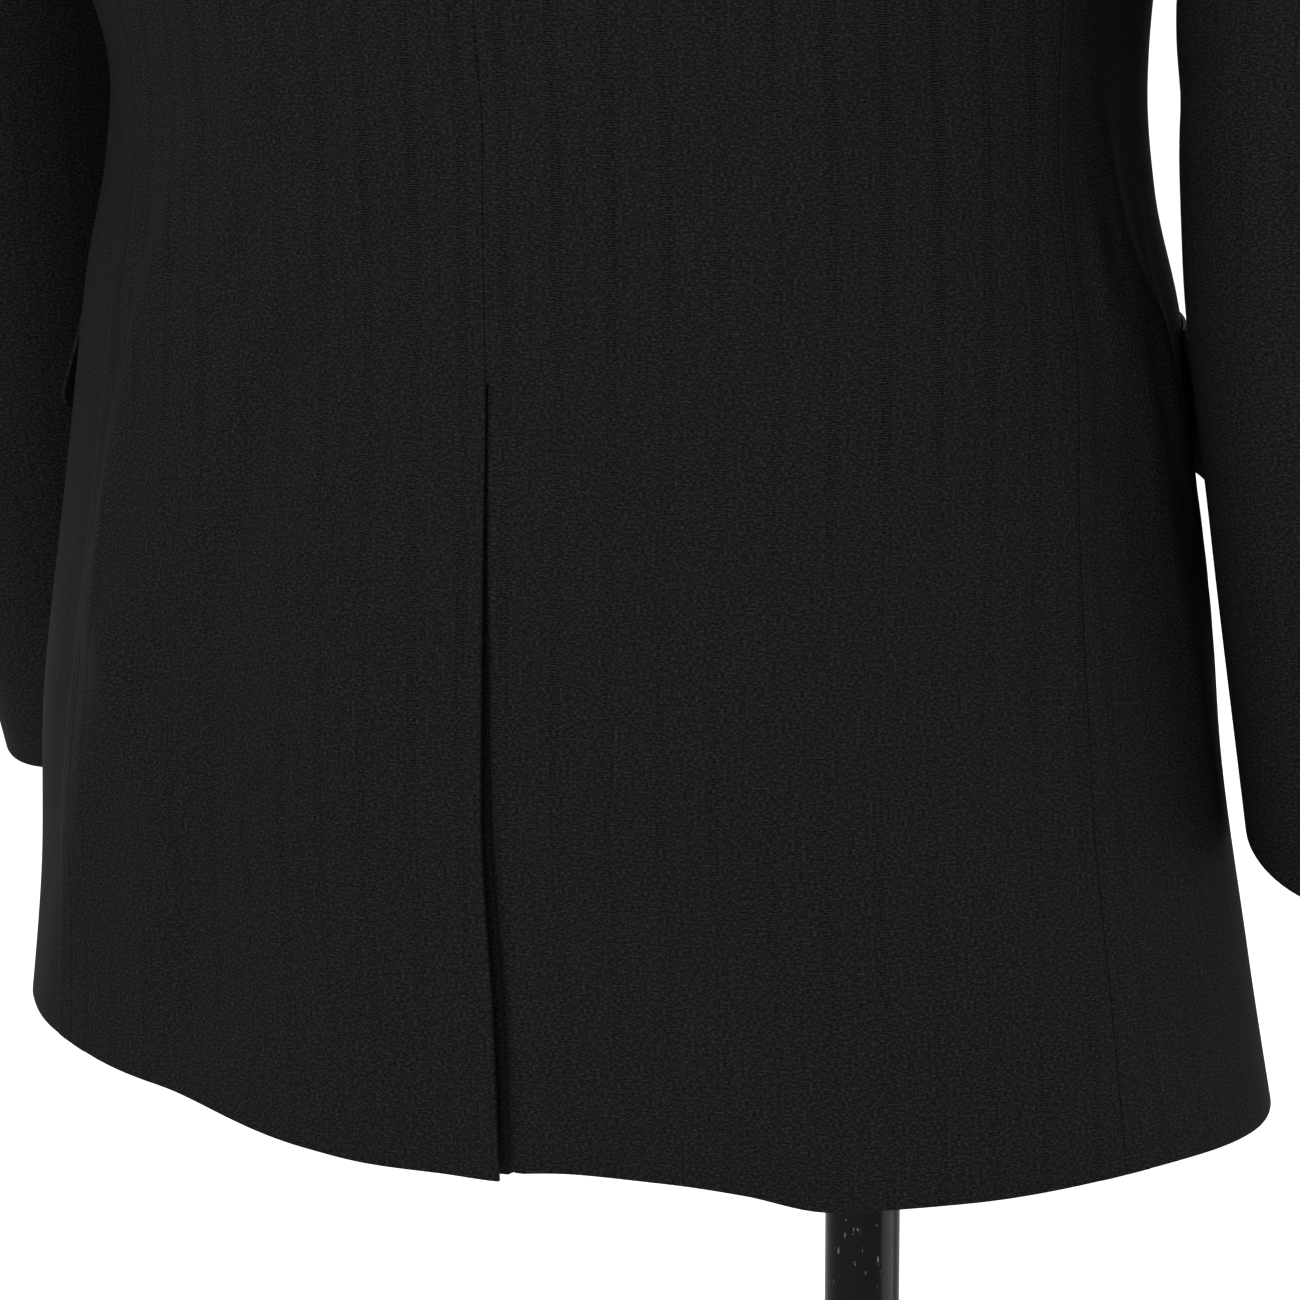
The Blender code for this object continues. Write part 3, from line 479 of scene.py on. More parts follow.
def body_normal(angle, height):
    """The direction out of the body's surface."""
    small_turn, small_rise = 0.5, 0.002
    low = np.clip(height - small_rise, BODY[0].height, NECK_SEAM - 2 * small_rise)
    round_it = plain_body(angle - small_turn, height) - plain_body(angle + small_turn, height)
    up_it = plain_body(angle, low + 2 * small_rise) - plain_body(angle, low)
    return unit(np.cross(round_it, up_it))


def fold_rise(angle, height):
    """How far the folds and the finer creases lift the cloth off its plain form."""
    rise = np.zeros(np.broadcast(angle, height).shape)
    per_degree = np.radians(1) * column(BODY, "half_width", height)
    for fold in FOLDS:
        along = (height - fold.low) / (fold.high - fold.low)
        centre = fold.angle_low + (fold.angle_high - fold.angle_low) * np.clip(along, -0.3, 1.3)
        away = turn_from(centre, angle) * per_degree
        rise = rise + fold.rise * fade(along, 0.25, 0.3) * bell(away, fold.width)
    for crease in CREASES:
        stops = (crease.low, crease.middle, crease.high)
        angles = (crease.angle_low, crease.angle_middle, crease.angle_high)
        away = turn_from(smooth_curve(stops, angles, height), angle) * per_degree
        along = (height - crease.low) / (crease.high - crease.low)
        width = np.where(away > 0, crease.leftward, crease.rightward)
        rise = rise + crease.rise * fade(along, 0.18, 0.28) * bell(away, width)
    return rise


def body_point(angle, height, out=0.0):
    """A point of the draped cloth's inner face, moved out by a distance."""
    angle, height = np.broadcast_arrays(np.asarray(angle, float), np.asarray(height, float))
    lift = np.asarray(fold_rise(angle, height) + out)[..., None]
    return plain_body(angle, height) + body_normal(angle, height) * lift


def front_angle(height, x):
    """The angle at which the front of a section reaches a distance from the centre front."""
    half_width = column(BODY, "half_width", height)
    depth, power = column(BODY, "front", height), column(BODY, "squareness", height)
    y = depth * (1 - np.clip(np.abs(x) / half_width, 0, 1) ** power) ** (1 / power)
    return 180 - np.degrees(np.arctan2(x, y))


def armhole_reach(height):
    """Half the angle that the armhole opens at a height."""
    across = 1 - ((height - ARMHOLE_MIDDLE) / ARMHOLE_HALF_HEIGHT) ** 2
    return ARMHOLE_HALF_ANGLE * np.sqrt(np.clip(across, 0, 1))


def shoulder_seam(height):
    along = np.clip((height - SHOULDER_TIP) / (NECK_SEAM - SHOULDER_TIP), 0, 1)
    return 90 + (SHOULDER_SEAM_AT_NECK - 90) * along


def gap_angle(height):
    """Half of a seam's gap, as an angle round the body."""
    return np.degrees(SEAM_GAP / 2 / column(BODY, "back", height))


def outer_edge(height, side, front):
    """The edge of a back or a front panel: its long seam, then the armhole, then the shoulder seam."""
    forward = 1 if front else -1
    seam = column(SEAMS, "front" if front else side_name(side), np.clip(height, 0, ARMHOLE_JOIN))
    hole = 90 + armhole_reach(height) * forward
    above = np.where(height < SHOULDER_TIP, hole, shoulder_seam(height))
    return np.where(height < ARMHOLE_JOIN, seam, above) + gap_angle(height) * forward


def hang_to_hem(angle, height):
    """Lowers the rows near the hem by its waves."""
    drop = column(HEM, "drop", turn_from(0, angle), key="angle")
    return height - drop * smooth_step(HEM_WAVE_REACH, 0.0, height)


def edge_steps(radius):
    """Distances from an edge at which a rounded edge needs its points."""
    return radius * (1 - np.cos(np.radians([0, 30, 60, 90])))


def edge_dip(distance, radius):
    """How far a rounded edge of this radius lies below the cloth's face."""
    near = np.clip(radius - distance, 0, radius)
    return radius - np.sqrt(radius**2 - near**2)


def both_edges(distance, width, radius):
    """How far the rounded edges on both sides of a piece lie below its face."""
    return edge_dip(distance, radius) + edge_dip(width - distance, radius)


def pressed_rise(distance):
    """How far a seam's pressed open edges lift the cloth on either side of it."""
    return PRESSED_RISE * smooth_step(PRESSED_WIDTH + 0.0010, PRESSED_WIDTH - 0.0014, distance)


def row_heights(top):
    """Heights of a panel's rows: fine ones round the hem's edge, then even ones that meet each corner."""
    rows, low = [edge_steps(FREE_ROUND)[:-1]], FREE_ROUND
    for stop in [s for s in ROW_STOPS if s < top] + [top]:
        count = max(1, round((stop - low) / ROW_SPACING))
        rows.append(np.linspace(low, stop, count, endpoint=False))
        low = stop
    return np.concatenate(rows + [[top]])


def fine_columns(points_at, radius, near_first=(), near_last=(), spacing=COLUMN_SPACING):
    """Fractions across a piece at each of its rows, with fine steps next to both of its edges.

    points_at gives the piece's points for a row of fractions. near_first and near_last are further
    columns, as distances from the edges. Also gives how far each column lies from the first edge, and
    how wide each row is.
    """
    dense = np.linspace(0, 1, DENSE)
    arc = arc_along(points_at(dense[None, :]))
    width = arc[:, -1:]
    first = np.concatenate([edge_steps(radius), near_first])
    last = np.concatenate([edge_steps(radius), near_last])
    room = width.max() - first[-1] - last[-1]
    between = np.linspace(0, 1, int(np.ceil(room / spacing)) + 1)[1:-1]
    middle = first[-1] + (width - first[-1] - last[-1]) * between[None, :]
    distance = np.concatenate([first + 0 * width, middle, width - last[::-1]], axis=1)
    fraction = np.array([np.interp(d, a, dense) for d, a in zip(distance, arc)])
    return fraction, distance, width


def grid_normals(points):
    """The direction out of a grid whose rows run up and whose columns run to the wearer's left."""
    return unit(np.cross(np.gradient(points, axis=0), np.gradient(points, axis=1)))


def new_object(name, data):
    obj = bpy.data.objects.new(name, data)
    bpy.context.scene.collection.objects.link(obj)
    return obj


def finish_mesh(name, mesh, material, smooth_angle):
    mesh.materials.append(material)
    mesh.shade_smooth()
    mesh.set_sharp_from_angle(angle=np.radians(smooth_angle))
    return new_object(name, mesh)


def cloth_wall(name, outer, inner, across, along, material):
    """A closed cloth wall between two grids, with the cloth's own measures in metres as its UV map."""
    rows, columns = outer.shape[:2]
    verts = np.concatenate([outer.reshape(-1, 3), inner.reshape(-1, 3)])
    across, along = np.broadcast_to(across, (rows, columns)), np.broadcast_to(along, (rows, columns))
    uv = np.tile(np.stack([across, along], -1).reshape(-1, 2), (2, 1))
    o = np.arange(rows * columns).reshape(rows, columns)
    n = o + rows * columns

    def quads(a, b, c, d):
        return np.stack([a, b, c, d], -1).reshape(-1, 4)

    faces = [
        quads(o[:-1, :-1], o[1:, :-1], o[1:, 1:], o[:-1, 1:]),
        quads(n[:-1, :-1], n[:-1, 1:], n[1:, 1:], n[1:, :-1]),
        quads(o[0, :-1], o[0, 1:], n[0, 1:], n[0, :-1]),
        quads(o[-1, 1:], o[-1, :-1], n[-1, :-1], n[-1, 1:]),
        quads(o[1:, 0], o[:-1, 0], n[:-1, 0], n[1:, 0]),
        quads(o[:-1, -1], o[1:, -1], n[1:, -1], n[:-1, -1]),
    ]
    mesh = bpy.data.meshes.new(name)
    mesh.from_pydata(verts, [], np.concatenate(faces))
    layer = mesh.uv_layers.new(name="cloth")
    corner = np.zeros(len(mesh.loops), np.int32)
    mesh.loops.foreach_get("vertex_index", corner)
    layer.data.foreach_set("uv", uv[corner].astype(np.float32).ravel())
    bm = bmesh.new()
    bm.from_mesh(mesh)
    bmesh.ops.remove_doubles(bm, verts=bm.verts, dist=1e-7)
    bm.to_mesh(mesh)
    bm.free()
    return finish_mesh(name, mesh, material, 55.0)


def sew(kind, side, base, dip, across, along, cloth, wall=CLOTH, flip=1):
    """A piece of cloth on the grid of its inner face.

    The grid's columns are put back in order where they run to the wearer's right, so that its face
    still points outwards. flip is -1 for a kind of piece whose columns run the other way.
    """
    if side * flip < 0:
        base, dip, across, along = (grid[:, ::-1] for grid in (base, dip, across, along))
    face = base + grid_normals(base) * (wall - dip)[..., None]
    return cloth_wall(f"{kind}_{side_name(side)}_cloth", face, base, across, along, cloth)


def hang(kind, side, angle, heights, inset, dip, across, cloth):
    """A panel of the body, which hangs down to the waves of the hem."""
    signed = angle * side
    base = body_point(signed, hang_to_hem(signed, heights), out=-inset)
    return sew(kind, side, base, dip, across, heights, cloth)


def make_back(side, cloth):
    """A back panel. Below the vent's top, the wearer's right panel runs under the left one."""
    heights = row_heights(NECK_SEAM)[:, None]
    outer, inner = outer_edge(heights, side, front=False), gap_angle(heights)
    fraction, distance, width = fine_columns(
        lambda f: plain_body(inner + (outer - inner) * f, heights), SEAM_ROUND, LAP_COLUMNS, PRESSED_COLUMNS
    )
    angle = inner + (outer - inner) * fraction
    dip = both_edges(distance, width, SEAM_ROUND)
    if side < 0:
        lap_steps = np.concatenate([edge_steps(FREE_ROUND), UNDERLAP_COLUMNS])[None, :]
        lapped = heights <= VENT_TOP
        lap = (lap_steps - VENT_LAP) * lapped
        angle = np.concatenate([inner + np.degrees(lap / column(BODY, "back", heights)), angle], axis=1)
        closed = 1 - smooth_step(VENT_TOP - VENT_TAPER, VENT_TOP, heights)
        dip = dip - edge_dip(distance, SEAM_ROUND) * closed
        dip = np.concatenate([np.where(lapped, edge_dip(lap_steps, FREE_ROUND), dip[:, :1]), dip], axis=1)
        distance = np.concatenate([lap, distance], axis=1)
        widened = smooth_step(VENT_TOP, LAP_BLEND_WIDEST_AT, heights)
        blend = LAP_BLEND_AT_TOP + (LAP_BLEND - LAP_BLEND_AT_TOP) * widened
        inset = LAP_INSET + LAP_DEEPER_AT_HEM * smooth_step(VENT_TOP, LAP_DEEPEST_AT, heights)
        inset = inset * smooth_step(blend, LAP_FULL_FROM, distance)
        inset = inset * smooth_step(VENT_TOP + VENT_TAPER, VENT_TOP, heights)
    else:
        lifted = smooth_step(VENT_TOP - VENT_LIFT_FADE, VENT_LIFT_FULL_AT, heights)
        inset = -VENT_LIFT * (lifted * smooth_step(VENT_LIFT_REACH, 0.0, distance))
    above_vent = smooth_step(VENT_TOP + 0.004, VENT_TOP + 0.02, heights)
    dip = dip + edge_dip(heights, FREE_ROUND) - pressed_rise(width - distance)
    dip = dip - CENTRE_SEAM_SHARE * pressed_rise(distance) * above_vent
    return hang("back", side, angle, heights, inset, dip, distance, cloth)


def make_side(side, cloth):
    """A side body panel, from the hem up to the armhole's lower edge."""
    up = row_heights(ARMHOLE_JOIN)[:, None] / ARMHOLE_JOIN

    def place(across):
        top_angle = (2 * across - 1) * ARMHOLE_JOIN_ANGLE
        top = ARMHOLE_MIDDLE - ARMHOLE_HALF_HEIGHT * np.sqrt(1 - (top_angle / ARMHOLE_HALF_ANGLE) ** 2)
        heights = top * up
        back_seam = column(SEAMS, side_name(side), heights) + gap_angle(heights)
        front_seam = column(SEAMS, "front", heights) - gap_angle(heights)
        return back_seam + (front_seam - back_seam) * across, heights

    fraction, distance, width = fine_columns(
        lambda f: plain_body(*place(f)), SEAM_ROUND, PRESSED_COLUMNS, PRESSED_COLUMNS
    )
    angle, heights = place(fraction)
    dip = both_edges(distance, width, SEAM_ROUND) + edge_dip(heights, FREE_ROUND)
    dip = dip - pressed_rise(distance) - pressed_rise(width - distance)
    return hang("side", side, angle, heights, 0.0, dip, distance - width / 2, cloth)


def neckline_x(height):
    """How far the neck seam lies from the centre, from the shoulder down to the gorge."""
    return GORGE_X + (NECK_POINT_X - GORGE_X) * (height - GORGE_HEIGHT) / (NECK_SEAM - GORGE_HEIGHT)


def front_edge_x(height):
    """How far the front's edge lies from the centre front, past it where the fronts overlap."""
    below = np.clip(1 - height / CUTAWAY_START, 0, 1)
    cutaway = -FRONT_OVERLAP + CUTAWAY_REACH * below**CUTAWAY_CURVE
    along = (height - BREAK_HEIGHT) / ROLL_RISE
    roll_line = -FRONT_OVERLAP + (GORGE_X + FRONT_OVERLAP) * along
    upper = np.where(height < GORGE_HEIGHT, roll_line, neckline_x(height))
    return np.where(height < BREAK_HEIGHT, cutaway, upper)


def front_inset(height, x, lapel_room):
    """How far the right front lies under the left one, with room for the right lapel higher up."""
    lapel = lapel_room * smooth_step(BREAK_HEIGHT - LAPEL_ROOM_FADE, BREAK_HEIGHT, height)
    layers = smooth_step(LAP_STARTS_AT, LAP_FULL_AT, height) + lapel
    ends = smooth_step(CROSSING + CROSSING_FADE, CROSSING, height)
    near = smooth_step(FRONT_OVERLAP + LAP_REACH, FRONT_OVERLAP - LAP_FULL_WITHIN, x)
    return LAP_INSET * layers * ends * near


def make_front(side, cloth):
    """A front panel. The wearer's left front laps over the right one."""
    heights = np.minimum(row_heights(NECK_SEAM), FRONT_TOP)[:, None]
    outer = outer_edge(heights, side, front=True)
    edge_x = front_edge_x(heights)
    edge = front_angle(heights, edge_x)
    fraction, distance, width = fine_columns(
        lambda f: plain_body(outer + (edge - outer) * f, heights), SEAM_ROUND, PRESSED_COLUMNS
    )
    angle = outer + (edge - outer) * fraction
    corner = np.clip((fraction - CUTAWAY_CORNER_FROM) / (1 - CUTAWAY_CORNER_FROM), 0, 1) ** 2 * CUTAWAY_CORNER
    lifted = heights + corner * smooth_step(CUTAWAY_CORNER_TOP, 0.0, heights)
    from_centre = np.radians(180 - angle) * column(BODY, "front", heights)
    inset = front_inset(heights, from_centre, LAPEL_ROOM) if side < 0 else 0.0
    dip = both_edges(distance, width, SEAM_ROUND) + edge_dip(heights, FREE_ROUND) - pressed_rise(distance)
    return hang("front", side, angle, lifted, inset, dip, edge_x + width - distance, cloth)


def make_lapel(side, cloth):
    """A lapel, turned out along the roll line and lying on the front."""
    start, steps = LAPEL_START, edge_steps(0.002)
    flat_to = start if side > 0 else (CROSSING - BREAK_HEIGHT) / ROLL_RISE
    even = np.linspace(start + 0.002, 0.998, 72)
    up = np.concatenate([start + steps[:-1], even, 1 - steps[-2::-1]])[:, None]
    roll_height = BREAK_HEIGHT + ROLL_RISE * up
    roll_x = front_edge_x(roll_height)
    tip_height = BREAK_HEIGHT + (LAPEL_TIP_HEIGHT - BREAK_HEIGHT) * up
    tip_x = -FRONT_OVERLAP + (LAPEL_TIP_X + FRONT_OVERLAP) * up + LAPEL_BELLY * np.sin(np.pi * up)

    def place(across):
        heights = roll_height + (tip_height - roll_height) * across
        x = roll_x + (tip_x - roll_x) * across
        return x, front_angle(heights, x), heights

    fraction, distance, width = fine_columns(
        lambda f: plain_body(*place(f)[1:]), LAPEL_ROUND, spacing=LAPEL_SPACING
    )
    x, angle, heights = place(fraction)
    roll = LAPEL_ROLL * bell(fraction, LAPEL_ROLL_SHARE) + LAPEL_SWELL * np.sin(np.pi * fraction)
    out = CLOTH + LAYER_GAP + roll * smooth_step(flat_to, flat_to + 0.2, up)
    if side < 0:
        out = out - front_inset(heights, x, 1.0)
    base = body_point(angle * side, heights, out=out)
    dip = edge_dip(distance, LAPEL_ROUND) + edge_dip(width - distance, FREE_ROUND)
    dip = np.minimum(dip + edge_dip((1 - up) * ROLL_RISE, FREE_ROUND), FREE_ROUND)
    along = ROLL_RISE * up + 0 * fraction
    return sew("lapel", side, base, dip, width - distance, along, cloth, flip=-1)


def collar_section(along):
    """One section of the collar: up the stand from the neck seam, over the fold and down the leaf."""
    side, far = (1 if along >= 0 else -1), abs(along)
    behind = np.clip(far / COLLAR_BACK_SHARE, 0, 1)
    ahead = np.clip((far - COLLAR_BACK_SHARE) / (1 - COLLAR_BACK_SHARE), 0, 1)
    if ahead > 0:
        seam_height = NECK_SEAM + (GORGE_HEIGHT + 0.001 - NECK_SEAM) * ahead
        angle = side * front_angle(seam_height, neckline_x(seam_height))
        edge_height = column(COLLAR_EDGE, "height", ahead, key="ahead")
        edge_angle = side * front_angle(edge_height, column(COLLAR_EDGE, "x", ahead, key="ahead"))
    else:
        seam_height = NECK_SEAM
        angle = edge_angle = side * 90 * behind
        slope = plain_body(angle, NECK_SEAM) - plain_body(angle, NECK_SEAM - 0.004)
        fall = slope[2] / np.linalg.norm(slope)
        edge_height = NECK_SEAM - (LEAF_DEPTH - STAND_HEIGHT) * fall
    outward = body_normal(angle, seam_height)
    level = unit(outward * np.array([1, 1, 0]))
    up = np.array([0, 0, 1.0])
    stand = STAND_HEIGHT * (1 - STAND_LOWER_IN_FRONT * smooth_step(0.0, 0.9, ahead))
    foot = body_point(angle, seam_height) - level * STAND_FOOT_IN + up * STAND_FOOT_UP
    top = foot + up * stand - level * STAND_LEAN * (1 - ahead)
    shoulder = top + level * 2 * COLLAR_FOLD
    edge = body_point(edge_angle, edge_height, out=CLOTH + LAYER_GAP + LEAF_GAP)
    bulge = LEAF_BULGE_BEHIND + LEAF_BULGE_AHEAD * ahead
    return [
        foot,
        foot + (top - foot) * 0.55,
        top,
        top + level * COLLAR_FOLD + up * COLLAR_FOLD * 0.9,
        shoulder,
        shoulder + (edge - shoulder) * 0.5 + outward * bulge,
        edge,
    ]


def through_points(points, count):
    """A flowing curve through each row of points, cut into even steps."""
    before = 2 * points[:, :1] - points[:, 1:2]
    after = 2 * points[:, -1:] - points[:, -2:-1]
    knots = np.concatenate([before, points, after], axis=1)
    spans = points.shape[1] - 1
    at = np.linspace(0, spans, 8 * spans + 1)
    i = np.minimum(at.astype(int), spans - 1)
    t = (at - i)[None, :, None]
    p0, p1, p2, p3 = (knots[:, i + k] for k in range(4))
    squared, cubed = 2 * p0 - 5 * p1 + 4 * p2 - p3, 3 * p1 - p0 - 3 * p2 + p3
    curve = 0.5 * (2 * p1 + (p2 - p0) * t + squared * t**2 + cubed * t**3)
    arc = arc_along(curve)
    even = arc[:, -1:] * np.linspace(0, 1, count)[None, :]

    def pick(at, arc, curve):
        return np.stack([np.interp(at, arc, values) for values in curve.T], -1)

    return np.array([pick(*row) for row in zip(even, arc, curve)]), even


def make_collar(cloth):
    """Stand and leaf in one, folded over. The face that shows is the one towards the neck on the stand."""
    half = np.linspace(0, 1, 76)
    sections = np.array([collar_section(along) for along in np.concatenate([-half[:0:-1], half])])
    points, down = through_points(sections, 34)
    points, down = points.transpose(1, 0, 2), down.T
    across = arc_along(points[len(points) // 2])
    across = across - across[len(across) // 2]
    points, down, across = points[:, ::-1], down[:, ::-1], across[::-1]
    edge = np.minimum(down.max(axis=0)[None, :] - down, down)
    end = np.minimum(across.max() - across, across - across.min())[None, :]
    dip = np.minimum(edge_dip(edge, COLLAR_ROUND) + edge_dip(end, COLLAR_ROUND), COLLAR_ROUND)[..., None]
    half_wall = grid_normals(points) * (COLLAR_WALL / 2 - dip)
    return cloth_wall("collar_cloth", points + half_wall, points - half_wall, across[None, :], down, cloth)


def sleeve_point(around, along, side):
    """A point of a sleeve's inner face, from the armhole, where along is 0, to the cuff, at 1.

    around is 0 at the outermost point, which is the shoulder tip, 90 at the back and 180 next to the
    body, under the arm.
    """
    around, along = np.broadcast_arrays(np.asarray(around, float), np.asarray(along, float))
    turn = np.radians(around)
    stops = np.linspace(0, 1, len(SLEEVE) + 1)[1:]

    def value(name):
        return smooth_curve(stops, [getattr(row, name) for row in SLEEVE], np.maximum(along, stops[0]))

    def between(inner, outer):
        return (inner + outer) / 2 + (outer - inner) / 2 * np.cos(turn)

    x = between(value("inner_x"), value("outer_x"))
    y = value("middle_y") + value("half_depth") * np.sin(turn)
    height = between(value("inner_height"), value("outer_height")) - value("back_drop") * np.sin(turn)
    if side > 0:
        x = x + column(LEFT_SLEEVE_SHIFT, "out", along, key="along")
        y = y - column(LEFT_SLEEVE_SHIFT, "forward", along, key="along")
        height = height - column(LEFT_SLEEVE_SHIFT, "down", along, key="along")
    tube = np.stack([x * side, y, HEM_HEIGHT + height], -1)
    hole_angle = side * (90 - ARMHOLE_HALF_ANGLE * np.sin(turn))
    at_tip = SLEEVE_TIP_LIFT * np.clip(np.cos(turn), 0, 1) ** 6
    hole_height = ARMHOLE_MIDDLE + ARMHOLE_HALF_HEIGHT * np.cos(turn)
    loop = body_point(hole_angle, hole_height, out=CLOTH + ARMHOLE_SEAM_GAP + at_tip)
    return loop + (tube - loop) * smooth_step(0.0, SLEEVE_HEAD_ROUND, along)[..., None]


def sleeve_creases(around, along, side):
    """How far the sleeve's creases lift its cloth."""
    rise = np.zeros(np.broadcast(around, along).shape)
    for crease in [row for row in SLEEVE_CREASES if row.side == side]:
        share = turn_from(crease.around_start, around) / (crease.around_end - crease.around_start)
        centre = crease.along_start + (crease.along_end - crease.along_start) * np.clip(share, -0.3, 1.3)
        away = (along - centre) * SLEEVE_LENGTH
        rise = rise + crease.rise * fade(share, 0.25, 0.35) * bell(away, crease.width)
    return rise


def make_sleeve(side, start, stop, kind, cloth):
    """A sleeve piece between two of its long seams."""
    half_gap = np.degrees(SLEEVE_GAP / 2 / SLEEVE_RADIUS)
    start, stop = start + half_gap, stop - half_gap
    head, arm = np.linspace(0, 0.2, 18), np.linspace(0.2, 0.995, 92)[1:]
    along = np.concatenate([head, arm, 1 - edge_steps(SLEEVE_CUFF_EDGE)[::-1]])[::-1, None]
    fraction, distance, width = fine_columns(
        lambda f: sleeve_point(start + (stop - start) * f, along, side), SLEEVE_ROUND
    )
    around = start + (stop - start) * fraction
    base = sleeve_point(around, along, side)
    base = base - side * grid_normals(base) * sleeve_creases(around, along, side)[..., None]
    spine = sleeve_point(np.full_like(along, (start + stop) / 2), along, side)[:, 0]
    down = arc_along(spine)[:, None]
    level = down - spine[:, 2:] + base[..., 2]
    dense = np.linspace(start, stop, DENSE)
    girth = arc_along(sleeve_point(dense, SLEEVE_HEAD_END, side))
    in_head = np.interp(around, dense, girth - girth[-1] / 2)
    across = np.where(along < SLEEVE_HEAD_END, in_head, distance - width / 2)
    dip = np.minimum(both_edges(distance, width, SLEEVE_ROUND) + edge_dip(down, FREE_ROUND), FREE_ROUND)
    return sew(kind, side, base, dip, across, level, cloth, flip=-1)


def pocket_angles(side, across):
    """Where the pocket lies round the body, from its rear end, where across is 0, to its front end."""
    return FLAP_REAR_ANGLE - FLAP_TURN * side + (FLAP_FRONT_ANGLE - FLAP_REAR_ANGLE) * across


def pocket_columns(side, heights, radius):
    """The columns of a flap or a jet, from the pocket's rear end to its front end."""

    def points_at(across):
        return plain_body(pocket_angles(side, across) + 0 * heights, heights + 0 * across)

    return fine_columns(points_at, radius, spacing=POCKET_SPACING)


def make_flap(side, cloth):
    """A pocket flap that hangs from its jet, a little lifted at its lower rear corner."""
    steps = edge_steps(FLAP_EDGE_SHARE)
    even = np.linspace(FLAP_EDGE_SHARE, 1 - FLAP_EDGE_SHARE, 22)[1:-1]
    down = np.concatenate([steps, even, 1 - steps[::-1]])[:, None]
    fraction, distance, width = pocket_columns(side, FLAP_TOP - FLAP_DEPTH * down, FREE_ROUND)
    from_end = np.minimum(distance, width - distance)
    height = FLAP_TOP - (FLAP_DEPTH - edge_dip(from_end, FLAP_CORNER)) * down
    rear = smooth_step(0.5, 0.0, fraction)
    lift = FLAP_LIFT_LEFT * down if side > 0 else FLAP_LIFT_RIGHT * down**1.3
    out = CLOTH + POCKET_GAP + lift * (0.15 + 0.85 * rear) + FLAP_FLARE * down
    angle = pocket_angles(side, fraction)
    base = body_point(angle * side, height, out=out)
    dip = edge_dip(from_end, FREE_ROUND) + edge_dip((1 - down) * FLAP_DEPTH, FREE_ROUND)
    from_front = np.radians(180 - angle) * column(BODY, "half_width", height) * FLAP_ROUNDNESS
    upwards = [grid[::-1] for grid in (base, np.minimum(dip, FREE_ROUND), from_front, height)]
    return sew("pocket_flap", side, *upwards, cloth)


def make_jet(side, cloth):
    """The narrow jet along the pocket's mouth, above its flap."""
    steps = edge_steps(JET_ROUND)
    even = np.linspace(0.0012, JET_HEIGHT - 0.0006, 4)
    rise = np.concatenate([SEAM_GAP + steps, even, JET_HEIGHT - steps[::-1]])[:, None]
    fraction, distance, width = pocket_columns(side, FLAP_TOP + rise, JET_ROUND)
    height = FLAP_TOP + rise + 0 * fraction
    base = body_point(pocket_angles(side, fraction) * side, height, out=CLOTH + POCKET_GAP)
    from_end = np.minimum(distance, width - distance)
    from_fold = np.minimum(rise - rise.min(), rise.max() - rise)
    dip = np.minimum(edge_dip(from_end, JET_ROUND) + edge_dip(from_fold, JET_ROUND), JET_ROUND)
    return sew("pocket_jet", side, base, dip, height - FLAP_TOP, distance, cloth, wall=JET_WALL)


def ring_solid(name, rings, material, smooth_angle):
    """A closed solid through rings of points, with a flat end at its first and its last ring."""
    bm = bmesh.new()
    verts = [[bm.verts.new(point) for point in ring] for ring in rings]
    for low, high in zip(verts, verts[1:]):
        for j in range(len(low)):
            k = (j + 1) % len(low)
            bm.faces.new((low[j], low[k], high[k], high[j]))
    bm.faces.new(verts[0][::-1])
    bm.faces.new(verts[-1])
    bmesh.ops.recalc_face_normals(bm, faces=bm.faces)
    mesh = bpy.data.meshes.new(name)
    bm.to_mesh(mesh)
    bm.free()
    return finish_mesh(name, mesh, material, smooth_angle)


def turned_piece(name, profile, centre, material, segments=ROUND_SEGMENTS):
    """A turned solid: each point of its profile is a radius and a height, from its foot to its top."""
    turn = np.linspace(0, 2 * np.pi, segments, endpoint=False)
    rings = [
        np.stack([radius * np.cos(turn), radius * np.sin(turn), height + 0 * turn], -1) + np.array(centre)
        for radius, height in profile
    ]
    return ring_solid(name, rings, material, 35.0)


def rounded_profile(corners, radius, steps=5):
    """A turned piece's profile with each of its inner corners rounded off."""
    corners = np.array(corners, float)
    out = [corners[0]]
    for before, corner, after in zip(corners, corners[1:], corners[2:]):
        a, b = before - corner, after - corner
        cut = min(radius, np.linalg.norm(a) * 0.45, np.linalg.norm(b) * 0.45)
        start, end = corner + a / np.linalg.norm(a) * cut, corner + b / np.linalg.norm(b) * cut
        for t in np.linspace(0, 1, steps):
            out.append((1 - t) ** 2 * start + 2 * t * (1 - t) * corner + t**2 * end)
    out.append(corners[-1])
    return out


def button_seat(height):
    """Where a button's back rests, in front of the cloth."""
    return body_point(180.0, height, out=CLOTH + LAYER_GAP) - np.array([0, BUTTON_SHANK, 0])


